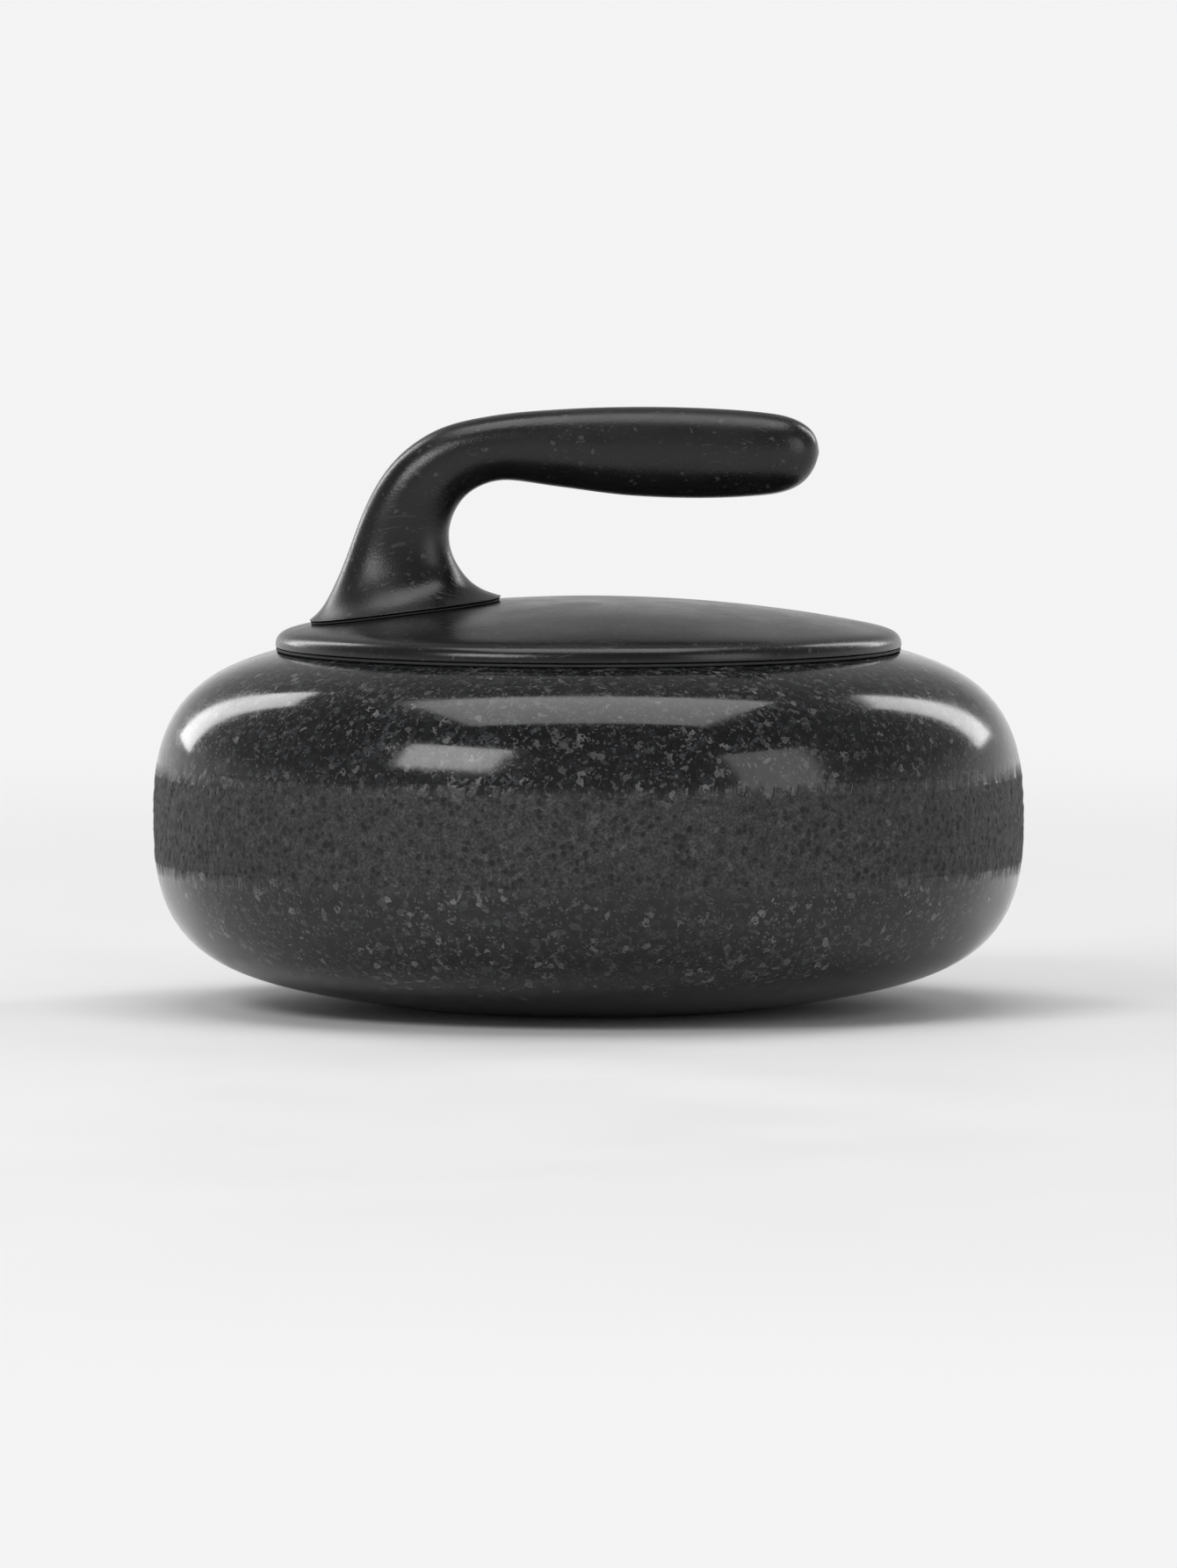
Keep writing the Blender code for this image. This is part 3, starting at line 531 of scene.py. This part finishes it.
def chord(a, b):
    """The root of each point's way from one ring to the next."""
    return np.sqrt(np.maximum(np.linalg.norm(b - a, axis=1, keepdims=True), 0.01))


def between(keys, counts, held):
    """Rings on centripetal Catmull-Rom curves through the key rings.

    Past the held ones, the rings are then eased along the grip's length."""
    rings = []
    for k, count in enumerate(counts):
        q, r = keys[k], keys[k + 1]
        p = keys[k - 1] if k else 2 * q - r
        s = keys[k + 2] if k + 2 < len(keys) else 2 * r - q
        t1 = chord(p, q)
        t2 = t1 + chord(q, r)
        t3 = t2 + chord(r, s)
        for step in range(count):
            t = t1 + (t2 - t1) * step / count
            first = ((t1 - t) * p + t * q) / t1
            second = ((t2 - t) * q + (t - t1) * r) / (t2 - t1)
            third = ((t3 - t) * r + (t - t2) * s) / (t3 - t2)
            lower = ((t2 - t) * first + t * second) / t2
            upper = ((t3 - t) * second + (t - t1) * third) / (t3 - t1)
            rings.append(((t2 - t) * lower + (t - t1) * upper) / (t2 - t1))
    rings = np.array(rings + [keys[-1]])
    share = np.clip((np.arange(len(rings)) - held) / EASED_OVER, 0, 1)[1:-1, None, None]
    for _ in range(EASING_PASSES):
        eased = (rings[:-2] + 2 * rings[1:-1] + rings[2:]) / 4
        rings[1:-1] += share * (eased - rings[1:-1])
    return rings


def wall_at(number):
    """The shell's wall at a ring, thicker in the first rings above the foot."""
    return SHELL_WALL * (1 + FOOT_EXTRA_WALL * max(0, FOOT_EXTRA_RINGS - number) / FOOT_EXTRA_RINGS)


def make_grip_shell(node, side):
    """One moulded half: outer skin, inner skin, and the faces that join them at the parting."""
    angles = half_angles()
    outer, inner = [], []
    for inset, lift in FOOT_LIP:
        outer.append(half_foot(FOOT_RINGS[0], inset, side, PARTING_FILLET, angles, lift))
        inner.append(half_foot(FOOT_RINGS[0], wall_at(0), side, 0, angles, lift))
    outer.append(half_foot(FOOT_RINGS[1], 0, side, PARTING_FILLET, angles))
    inner.append(half_foot(FOOT_RINGS[1], wall_at(1), side, 0, angles))
    for number, row in enumerate(NECK_RINGS, len(FOOT_RINGS)):
        outer.append(half_ring(row, 0, side, PARTING_FILLET, angles))
        inner.append(half_ring(row, wall_at(number), side, 0, angles))
    for number, row in enumerate(END_RINGS, 1):
        fillet = min(PARTING_FILLET, row[4] / 9)
        outer.append(half_ring(row, 0, side, fillet, angles))
        pull = SHELL_WALL * number / len(END_RINGS)
        inner.append(half_ring(row, min(SHELL_WALL, row[4] - 0.9), side, 0, angles, -pull))
    tip = np.array((GRIP_TIP[0], side * GAP / 2, GRIP_TIP[1]))
    outer.append(np.repeat(tip[None], len(angles), 0))
    inner.append(np.repeat(tip[None] - (SHELL_WALL, 0, 0), len(angles), 0))
    counts = ring_counts(outer, GRIP_RING_SPACING)
    held = sum(counts[:len(FOOT_LIP)])
    outer = between(outer, counts, held)
    inner = between(inner, counts, held)
    rows, columns = outer.shape[:2]
    points = np.concatenate([outer.reshape(-1, 3), inner.reshape(-1, 3)])
    offset = rows * columns
    faces = grid_faces(rows, columns, False, False)
    faces += [tuple(offset + i for i in reversed(face)) for face in faces]
    for k in range(rows - 1):
        for column in (0, columns - 1):
            a, b = k * columns + column, (k + 1) * columns + column
            faces.append((a, b, offset + b, offset + a))
    for i in range(columns - 1):
        faces.append((i, i + 1, offset + i + 1, offset + i))
    shell = mesh_object(f"{node}_surface", points, faces)
    return stand_for(shell, node)


def make_foot_seal():
    """A flat ring that follows the shells' foot, a gap above the dome."""
    row = FOOT_RINGS[0]
    angles = np.linspace(0, math.tau, SEAL_SEGMENTS, endpoint=False)
    bottom, top = GAP - row[1], GAP - row[1] + SEAL_THICKNESS
    near, far = SEAL_INSETS
    sections = []
    for inset, lift in ((near, bottom), (near, top), (far, top), (far, bottom)):
        loop = half_ring(row, inset, 1, 0, angles)
        loop[:, 1] -= GAP / 2
        loop[:, 1] *= np.where(np.sin(angles) < 0, -1, 1)
        loop[:, 2] = dome_height(np.hypot(loop[:, 0], loop[:, 1])) + row[1] + lift
        sections.append(loop)
    points = np.array(sections)
    faces = grid_faces(len(sections), len(angles), True, True)
    seal = mesh_object("neck_foot_seal_surface", points.reshape(-1, 3), faces)
    return stand_for(seal, "neck_foot_seal")


# ==== the bolt and washers under the stone ====


def make_washer(node, fillet):
    low, high = box_mm(node)
    corners = [
        (WASHER_BORE_RADIUS, low.z, fillet),
        (high.x, low.z, fillet),
        (high.x, high.z, fillet),
        (WASHER_BORE_RADIUS, high.z, fillet),
    ]
    return stand_for(turned(f"{node}_surface", rounded(corners), WASHER_SEGMENTS), node)


def make_spring_washer():
    """A split ring of square section whose two ends stand a little apart."""
    low, high = box_mm("bolt_spring_washer")
    inner, outer = SPRING_WASHER_RADII
    half_opening = SPRING_WASHER_OPENING / 2
    thickness = high.z - low.z - SPRING_WASHER_RISE
    section = rounded(
        [(inner, 0, 0.3), (outer, 0, 0.3), (outer, thickness, 0.3), (inner, thickness, 0.3)]
    )
    turns = np.linspace(half_opening, math.tau - half_opening, WASHER_SEGMENTS + 1)
    rings = []
    for number, turn in enumerate(turns):
        lift = low.z + SPRING_WASHER_RISE * number / (len(turns) - 1)
        rings.append([(r * math.cos(turn), r * math.sin(turn), z + lift) for r, z in section])
    points = np.array(rings)
    rows, columns = points.shape[:2]
    faces = grid_faces(rows, columns, False, True) + end_caps(rows, columns)
    washer = mesh_object("bolt_spring_washer_surface", points.reshape(-1, 3), faces)
    return stand_for(washer, "bolt_spring_washer")


def make_bolt():
    """A hexagon bolt: chamfered head, plain shank, and a rolled thread on its upper part."""
    low, high = box_mm("handle_bolt")
    head_top = low.z + BOLT_HEAD_HEIGHT
    thread_from, thread_to = high.z - THREAD_LENGTH, high.z - 0.6
    turn = full_turn(BOLT_SEGMENTS)
    from_flat = turn % math.radians(60) - math.radians(30)
    hexagon = BOLT_HEAD_ACROSS_FLATS / 2 / np.cos(from_flat)
    chamfer_start = BOLT_HEAD_ACROSS_FLATS / 2 * 0.94
    fall = (hexagon - chamfer_start) * math.tan(math.radians(30))
    # Rings of (reach, height) from the head's face up to the bolt's end.
    rings = [
        (0.01, low.z),
        (4.0, low.z),
        (chamfer_start - 0.4, low.z),
        (chamfer_start, low.z + 0.06),
        (hexagon - 0.12, low.z + fall),
        (hexagon, low.z + fall + 0.15),
        (hexagon, head_top - 0.25),
        (hexagon - 0.2, head_top),
        (BOLT_RADIUS + 0.6, head_top),
        (BOLT_RADIUS, head_top + 0.5),
        (BOLT_RADIUS, thread_from - 1),
    ]
    rows = int((thread_to - thread_from) / THREAD_PITCH * THREAD_ROWS_PER_TURN)
    for z in np.linspace(thread_from, thread_to, rows):
        phase = (z / THREAD_PITCH - turn / math.tau) % 1
        tooth = np.clip(np.abs(phase - 0.5) * 2 * 1.25 - 0.1, 0, 1)
        ease = min(1, (z - thread_from) / THREAD_RUN_IN)
        rings.append((BOLT_RADIUS - THREAD_DEPTH * ease * tooth, z))
    rings += [(BOLT_RADIUS - 1, high.z), (0.01, high.z)]
    points = np.array([
        np.stack([reach * np.cos(turn), reach * np.sin(turn), height + 0 * turn], axis=1)
        for reach, height in rings
    ])
    faces = grid_faces(len(rings), BOLT_SEGMENTS, False, True)
    faces += end_caps(len(rings), BOLT_SEGMENTS)
    bolt = mesh_object("handle_bolt_surface", points.reshape(-1, 3), faces, 24)
    return stand_for(bolt, "handle_bolt")


# ==== materials ====


def set_stops(ramp, stops):
    """Gives a colour ramp its (position, colour) stops."""
    while len(ramp.elements) < len(stops):
        ramp.elements.new(0.5)
    for element, (position, colour) in zip(ramp.elements, stops):
        element.position = position
        element.color = (*colour, 1)


class Look:
    """A node material being put together. Textures are placed in millimetres."""

    def __init__(self, name):
        self.material = bpy.data.materials.new(name)
        self.material.use_nodes = True
        self.tree = self.material.node_tree
        self.shader = self.tree.nodes["Principled BSDF"]
        place = self.node("TexCoord", {}).outputs["Object"]
        self.place = self.vector("SCALE", place, scale=1 / TO_METRES)

    def put(self, socket, value):
        if isinstance(value, bpy.types.NodeSocket):
            self.tree.links.new(value, socket)
        else:
            socket.default_value = value

    def node(self, kind, inputs, **settings):
        made = self.tree.nodes.new("ShaderNode" + kind)
        for key, value in settings.items():
            setattr(made, key, value)
        for key, value in inputs.items():
            self.put(made.inputs[key], value)
        return made

    def vector(self, operation, a, b=(0, 0, 0), scale=1.0):
        inputs = {0: a, 3: scale} if operation == "SCALE" else {0: a, 1: b}
        return self.node("VectorMath", inputs, operation=operation).outputs[0]

    def maths(self, operation, a, b=0.0, clamp=False):
        return self.node("Math", {0: a, 1: b}, operation=operation, use_clamp=clamp).outputs[0]

    def noise(self, size, detail=2.0, rough=0.5, place=None):
        """Noise from 0 to 1 whose largest shapes are about this many millimetres."""
        inputs = {
            "Vector": place or self.place,
            "Scale": 1 / size,
            "Detail": detail,
            "Roughness": rough,
        }
        return self.node("TexNoise", inputs).outputs[0]

    def cells(self, size, place=None, output="Color"):
        """Cells this many millimetres across: each one's own colour, or the way to its middle."""
        inputs = {"Vector": place or self.place, "Scale": 1 / size}
        return self.node("TexVoronoi", inputs).outputs[output]

    def shaken(self, size, amount):
        """The place moved about by noise, so that cells get uneven borders."""
        inputs = {"Vector": self.place, "Scale": 1 / size, "Detail": 2.0}
        colour = self.node("TexNoise", inputs).outputs["Color"]
        centred = self.vector("SUBTRACT", colour, (0.5, 0.5, 0.5))
        return self.vector("ADD", self.place, self.vector("SCALE", centred, scale=amount))

    def red(self, colour):
        return self.node("SeparateColor", {0: colour}).outputs[0]

    def span(self, value, low, high, to_low=0.0, to_high=1.0):
        """The value's range from low to high laid over another range, and held at its ends."""
        inputs = {0: value, 1: low, 2: high, 3: to_low, 4: to_high}
        return self.node("MapRange", inputs).outputs[0]

    def ramp(self, value, stops, interpolation="LINEAR"):
        made = self.node("ValToRGB", {0: value})
        made.color_ramp.interpolation = interpolation
        set_stops(made.color_ramp, stops)
        return made.outputs[0]

    def mix(self, share, a, b, blend="MIX"):
        a, b = (v if isinstance(v, bpy.types.NodeSocket) else (*v, 1) for v in (a, b))
        inputs = {0: share, 6: a, 7: b}
        return self.node("Mix", inputs, data_type="RGBA", blend_type=blend).outputs[2]

    def attribute(self, name):
        return self.node("Attribute", {}, attribute_name=name).outputs["Fac"]

    def bump(self, height, depth, below=None):
        """Relief this many millimetres deep, laid over the relief below it."""
        inputs = {"Height": height, "Distance": depth * TO_METRES, "Strength": 1.0}
        if below is not None:
            inputs["Normal"] = below
        return self.node("Bump", inputs).outputs[0]

    def finish(self, **sockets):
        """Sets the shader's sockets, whose names have a _ for each space."""
        for key, value in sockets.items():
            self.put(self.shader.inputs[key.replace("_", " ")], value)
        return self.material


def grey(level, tint=(1.0, 1.0, 1.0)):
    return tuple(level * share for share in tint)


BLUISH = (0.94, 0.98, 1.06)
PECK_MARK_SIZE = 2.6
# Directions of the faint scratches: (turn in radians, the noise level above which one shows).
SCRATCH_DIRECTIONS = ((0.35, 0.7), (1.15, 0.705), (2.1, 0.7), (2.75, 0.71))


def make_granite(name, dark, light, grain, polished_roughness):
    """Dark crystalline stone, polished except where it is worked."""
    look = Look(name)
    place = look.shaken(grain * 1.6, grain * 0.9)
    crystal = look.red(look.cells(grain, place))
    colour = look.ramp(
        crystal,
        [
            (0.0, grey(dark * 0.55, BLUISH)),
            (0.34, grey(dark, BLUISH)),
            (0.62, grey(dark * 1.9, BLUISH)),
            (0.82, grey(light * 0.42, BLUISH)),
            (0.93, grey(light * 0.8)),
            (0.975, grey(light * 1.35)),
        ],
        "CONSTANT",
    )
    fine = look.red(look.cells(grain * 0.36, place))
    colour = look.mix(look.span(fine, 0.8, 0.86), colour, grey(dark * 0.35))
    colour = look.mix(look.span(fine, 0.1, 0.06, 0, 0.75), colour, grey(light * 0.9))
    cloud = look.noise(38, 3)
    colour = look.mix(look.span(cloud, 0.35, 0.65, 0.1, 0.5), colour, grey(dark * 0.8, BLUISH))
    cleavage = look.noise(grain * 0.3, 2)
    shade = look.span(cleavage, 0.3, 0.7, 0.72, 1.28)
    shade = look.node("CombineColor", {0: shade, 1: shade, 2: shade}).outputs[0]
    colour = look.mix(1.0, colour, shade, "MULTIPLY")
    worked = look.attribute("worked")
    pits = look.attribute("pits")
    struck_place = look.shaken(1.1, 0.9)
    distance = look.cells(PECK_MARK_SIZE, struck_place, output="Distance")
    chance = look.red(look.cells(PECK_MARK_SIZE, struck_place))
    strike = look.maths(
        "MULTIPLY", look.span(distance, 0.5, 0.24, 0, 1), look.span(chance, 0.2, 0.6, 0.15, 1.0)
    )
    powder = look.noise(0.9, 3, 0.6)
    crushed_and_pit_shade = look.ramp(
        powder, [(0.34, grey(light * 0.2)), (0.5, grey(light * 0.42)), (0.66, grey(light * 0.85))]
    )
    # Painted shade: the strike marks' hollows and the deeper pits and spalls are darkened over the
    # light crushed powder.
    crushed_and_pit_shade = look.mix(look.maths("MULTIPLY", strike, 0.9), crushed_and_pit_shade, grey(dark * 0.5))
    crushed_and_pit_shade = look.mix(look.span(pits, 0.3, 1.3, 0.0, 0.75), crushed_and_pit_shade, grey(dark * 0.6))
    pecked = look.mix(0.68, colour, crushed_and_pit_shade)
    colour = look.mix(worked, colour, pecked)
    smear = look.noise(24, 4, 0.6)
    fresh = look.span(smear, 0.35, 0.7, polished_roughness, polished_roughness + 0.09)
    fresh = look.maths("ADD", fresh, look.span(fine, 0.0, 1.0, 0.05, -0.02))
    rough = look.span(look.noise(2.2, 3), 0.3, 0.7, 0.62, 0.86)
    roughness = look.maths(
        "ADD",
        look.maths("MULTIPLY", fresh, look.maths("SUBTRACT", 1.0, worked)),
        look.maths("MULTIPLY", rough, worked),
        True,
    )
    flat = look.bump(look.noise(grain * 0.5, 3), 0.004)
    left_standing = look.maths("SUBTRACT", 1.0, strike)
    relief = look.maths("ADD", left_standing, look.maths("MULTIPLY", powder, 0.5))
    relief = look.maths("MULTIPLY", relief, worked)
    normal = look.bump(relief, 0.45, flat)
    return look.finish(Base_Color=colour, Roughness=roughness, Normal=normal, IOR=1.43)


def make_moulding(name, level, gloss, grain_size, grain_depth, handled):
    """Black moulded plastic with the mould's fine grain, faint scratches and handled sheen."""
    look = Look(name)
    tone = look.noise(14, 4, 0.6)
    colour = look.ramp(
        tone,
        [(0.3, grey(level * 0.8)), (0.7, grey(level * 1.25, (0.98, 1.0, 1.04)))],
    )
    grain_place = look.shaken(grain_size * 1.4, grain_size * 0.7)
    grain = look.cells(grain_size, grain_place, output="Distance")
    fine = look.noise(grain_size * 0.55, 3, 0.6)
    wandering = look.shaken(70, 46)
    scratch = 0.0
    for turn, threshold in SCRATCH_DIRECTIONS:
        line_place = look.node(
            "Mapping", {0: wandering, 2: (0.2, 0.1, turn), 3: (0.03, 1.3, 0.9)}
        )
        line = look.noise(1.0, 0.5, 0.4, line_place.outputs[0])
        patch_place = look.vector("ADD", look.place, (90 * turn, 0, 0))
        patch = look.span(look.noise(26, 2, place=patch_place), 0.5, 0.62)
        drawn = look.maths("MULTIPLY", look.span(line, threshold, threshold + 0.04), patch)
        scratch = look.maths("MAXIMUM", drawn, scratch)
    colour = look.mix(look.maths("MULTIPLY", scratch, 0.55), colour, grey(0.045))
    speck = look.span(look.red(look.cells(1.3, look.shaken(2, 1))), 0.988, 0.992, 0, 0.5)
    colour = look.mix(speck, colour, grey(0.07))
    worn = look.span(look.noise(26, 4, 0.6), 0.38, 0.66, 0.0, handled)
    roughness = look.maths("SUBTRACT", gloss, worn)
    roughness = look.maths("ADD", roughness, look.span(fine, 0.3, 0.7, -0.04, 0.05))
    roughness = look.maths("ADD", roughness, look.maths("MULTIPLY", scratch, 0.14), True)
    normal = look.bump(look.noise(34, 1), 0.16)
    normal = look.bump(look.noise(5, 2), 0.014, normal)
    grained = look.maths("ADD", grain, look.maths("MULTIPLY", fine, 0.6))
    normal = look.bump(grained, grain_depth, normal)
    normal = look.bump(look.maths("MULTIPLY", scratch, -1.0), 0.004, normal)
    return look.finish(Base_Color=colour, Roughness=roughness, Normal=normal, IOR=1.44)


def make_rubber():
    look = Look("soft_rubber")
    tone = look.noise(6, 4, 0.6)
    colour = look.ramp(tone, [(0.3, grey(0.013)), (0.75, grey(0.03))])
    bloom = look.span(look.noise(2.2, 4, 0.7), 0.58, 0.75, 0, 0.25)
    colour = look.mix(bloom, colour, grey(0.07))
    roughness = look.span(tone, 0.3, 0.7, 0.62, 0.82)
    normal = look.bump(look.noise(0.5, 3, 0.6), 0.03)
    return look.finish(Base_Color=colour, Roughness=roughness, Normal=normal)


def make_plated_steel():
    look = Look("zinc_plated_steel")
    tone = look.noise(5, 4, 0.6)
    colour = look.ramp(
        tone,
        [(0.25, (0.5, 0.51, 0.54)), (0.5, (0.62, 0.62, 0.61)), (0.75, (0.66, 0.62, 0.52))],
    )
    stain = look.span(look.noise(2.6, 4, 0.65), 0.62, 0.74, 0, 0.5)
    colour = look.mix(stain, colour, (0.2, 0.17, 0.14))
    worn = look.span(tone, 0.3, 0.7, 0.26, 0.4)
    roughness = look.maths("ADD", worn, look.maths("MULTIPLY", stain, 0.5), True)
    rings = look.node(
        "TexWave",
        {"Vector": look.place, "Scale": 0.9, "Distortion": 0.4, "Detail": 2.0, "Detail Scale": 2.0},
        wave_type="RINGS",
        rings_direction="Z",
    ).outputs["Fac"]
    normal = look.bump(rings, 0.012)
    normal = look.bump(look.noise(0.4, 3), 0.01, normal)
    return look.finish(Base_Color=colour, Roughness=roughness, Normal=normal, Metallic=1.0)


def make_cast_aluminium():
    look = Look("cast_aluminium")
    tone = look.noise(7, 4, 0.6)
    colour = look.ramp(tone, [(0.3, (0.4, 0.41, 0.42)), (0.7, (0.58, 0.58, 0.58))])
    # Painted shade: small spots are darkened where pores would be hollow.
    pore_shade = look.span(look.red(look.cells(0.9)), 0.93, 0.96)
    colour = look.mix(pore_shade, colour, (0.16, 0.16, 0.16))
    roughness = look.span(look.noise(1.2, 3), 0.3, 0.7, 0.42, 0.66)
    normal = look.bump(look.noise(0.9, 4, 0.65), 0.08)
    return look.finish(Base_Color=colour, Roughness=roughness, Normal=normal, Metallic=1.0)


def make_brass():
    look = Look("turned_brass")
    tone = look.noise(4, 4, 0.6)
    colour = look.ramp(tone, [(0.3, (0.55, 0.36, 0.13)), (0.7, (0.78, 0.58, 0.27))])
    rings = look.node(
        "TexWave",
        {"Vector": look.place, "Scale": 1.6, "Distortion": 0.3},
        wave_type="BANDS",
        bands_direction="Z",
    ).outputs["Fac"]
    roughness = look.span(tone, 0.3, 0.7, 0.22, 0.38)
    normal = look.bump(rings, 0.01)
    return look.finish(Base_Color=colour, Roughness=roughness, Normal=normal, Metallic=1.0)


def make_nylon():
    look = Look("natural_nylon")
    tone = look.noise(5, 4, 0.6)
    colour = look.ramp(tone, [(0.3, (0.62, 0.6, 0.53)), (0.7, (0.74, 0.73, 0.68))])
    roughness = look.span(look.noise(0.8, 3), 0.3, 0.7, 0.38, 0.55)
    normal = look.bump(look.noise(0.5, 3), 0.015)
    return look.finish(Base_Color=colour, Roughness=roughness, Normal=normal)


def paint(material, *objects):
    for obj in objects:
        obj.data.materials.clear()
        obj.data.materials.append(material)


# Granites: darkest and lightest grain, the grains' size, the polish's roughness.
granite = make_granite("black_granite", 0.011, 0.1, 2.1, 0.08)
running_stone = make_granite("fine_running_stone", 0.02, 0.12, 0.9, 0.16)
# Mouldings: tone, roughness, the grain's size and depth, how much handling has polished them.
cap_plastic = make_moulding("cap_plastic", 0.006, 0.27, 0.7, 0.012, 0.07)
grip_plastic = make_moulding("grip_plastic", 0.006, 0.36, 0.9, 0.03, 0.14)
rubber = make_rubber()
steel = make_plated_steel()
cast_aluminium = make_cast_aluminium()
brass = make_brass()
nylon = make_nylon()

paint(granite, make_granite_body())
paint(running_stone, make_running_insert())
paint(cap_plastic, make_handle_cap())
paint(grip_plastic, make_grip_shell("grip_shell_left", 1), make_grip_shell("grip_shell_right", -1))
paint(rubber, make_gasket(), make_foot_seal())
paint(rubber, make_washer("bolt_rubber_washer", 0.5))
paint(steel, make_washer("bolt_flat_washer", 0.3), make_spring_washer(), make_bolt())

# The CAD nodes that are carried over, by the start of their names.
INNER_LOOKS = {
    "cap_screw": steel,
    "neck_screw": steel,
    "base_plate": cast_aluminium,
    "grip_core": cast_aluminium,
    "threaded_insert": brass,
    "lower_bolt_bush": nylon,
    "upper_bolt_bush": nylon,
    "base_seat_pad": rubber,
}
for start, material in INNER_LOOKS.items():
    for node_name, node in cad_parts.items():
        if node_name.startswith(start):
            paint(material, node)


# ==== floor, light and camera ====


HORIZON_LEVEL = 0.9
FLOOR_RADII, FLOOR_SEGMENTS = (0.0001, 400, 1500, 6000, 60000), 96
FADE_FROM, FADE_TO = 280, 1500
SKY = ((0.0, HORIZON_LEVEL), (0.05, HORIZON_LEVEL), (0.3, 0.34), (1.0, 0.16))
# Softboxes: name, place and (width, height) in metres, power in watts.
SOFTBOXES = (
    ("key", (-1.3, -1.5, 1.5), (1.1, 0.8), 22),
    ("fill", (1.6, -1.2, 0.9), (0.9, 1.2), 7),
    ("top", (0, 0.1, 1.9), (1.5, 1.2), 17),
    ("back_left", (-1.2, 1.5, 1.0), (0.5, 1.3), 10),
    ("back_right", (1.3, 1.4, 1.1), (0.5, 1.3), 10),
)
CAMERA_ELEVATION = math.radians(3.4)
CAMERA_LENS, SENSOR = 450, 36
OBJECT_SHARE, FRAME_DROP = 0.74, 0.09


def make_floor():
    """A pale disc that fades into the world's horizon, so no edge shows."""
    look = Look("pale_floor")
    tone = look.noise(420, 3)
    colour = look.ramp(tone, [(0.3, (0.82, 0.82, 0.82)), (0.7, (0.845, 0.845, 0.845))])
    roughness = look.span(look.noise(90, 3), 0.3, 0.7, 0.5, 0.6)
    material = look.finish(Base_Color=colour, Roughness=roughness)
    away = look.node("VectorMath", {0: look.place}, operation="LENGTH").outputs["Value"]
    glow = look.node("Emission", {"Color": (*grey(HORIZON_LEVEL), 1), "Strength": 1.0})
    fade = look.node(
        "MapRange", {0: away, 1: FADE_FROM, 2: FADE_TO}, interpolation_type="SMOOTHERSTEP"
    )
    shaders = {0: fade.outputs[0], 1: look.shader.outputs[0], 2: glow.outputs[0]}
    blend = look.node("MixShader", shaders)
    look.put(look.tree.nodes["Material Output"].inputs["Surface"], blend.outputs[0])
    rings = np.array([(radius, 0) for radius in FLOOR_RADII])
    points = turned_points(rings, FLOOR_SEGMENTS)
    faces = grid_faces(len(rings), FLOOR_SEGMENTS, False, True)
    floor = mesh_object("studio_floor", points.reshape(-1, 3), faces)
    floor.location.z = cad_low.z - 0.0001
    paint(material, floor)


def make_world():
    """Light from all round, brightest at the horizon."""
    world = bpy.data.worlds.new("studio")
    bpy.context.scene.world = world
    world.use_nodes = True
    nodes, links = world.node_tree.nodes, world.node_tree.links
    place = nodes.new("ShaderNodeTexCoord").outputs["Generated"]
    split = nodes.new("ShaderNodeSeparateXYZ")
    links.new(place, split.inputs[0])
    ramp = nodes.new("ShaderNodeValToRGB")
    links.new(split.outputs["Z"], ramp.inputs[0])
    set_stops(ramp.color_ramp, [(position, grey(level)) for position, level in SKY])
    links.new(ramp.outputs[0], nodes["Background"].inputs["Color"])
    nodes["Background"].inputs["Strength"].default_value = 1.0


def add_softbox(name, place, size, power, target):
    """A rectangular lamp that faces the target and isn't seen itself."""
    light = bpy.data.lights.new(name, "AREA")
    light.shape = "RECTANGLE"
    light.size, light.size_y = size
    light.energy = power
    lamp = bpy.data.objects.new(name, light)
    lamp.location = place
    lamp.rotation_euler = (Vector(target) - Vector(place)).to_track_quat("-Z", "Y").to_euler()
    lamp.visible_camera = False
    bpy.context.scene.collection.objects.link(lamp)


def make_camera():
    """A long lens at the photograph's angle, with the object a little above the middle."""
    camera = bpy.data.cameras.new("camera")
    camera.lens = CAMERA_LENS
    camera.sensor_width = SENSOR
    obj = bpy.data.objects.new("camera", camera)
    width = cad_high.x - cad_low.x
    frame_width = SENSOR * IMAGE_WIDTH / IMAGE_HEIGHT
    distance = CAMERA_LENS * width / (OBJECT_SHARE * frame_width)
    centre = (cad_low + cad_high) / 2
    back = Vector((0, -math.cos(CAMERA_ELEVATION), math.sin(CAMERA_ELEVATION)))
    obj.location = centre + back * distance
    aim = centre - Vector((0, 0, FRAME_DROP * width)) - obj.location
    obj.rotation_euler = aim.to_track_quat("-Z", "Y").to_euler()
    camera.clip_start, camera.clip_end = 0.05, 100
    bpy.context.scene.collection.objects.link(obj)
    bpy.context.scene.camera = obj


make_floor()
make_world()
middle = (cad_low + cad_high) / 2
for name, place, size, power in SOFTBOXES:
    add_softbox(name, place, size, power, middle)
make_camera()
bpy.context.scene.view_settings.view_transform = "Standard"
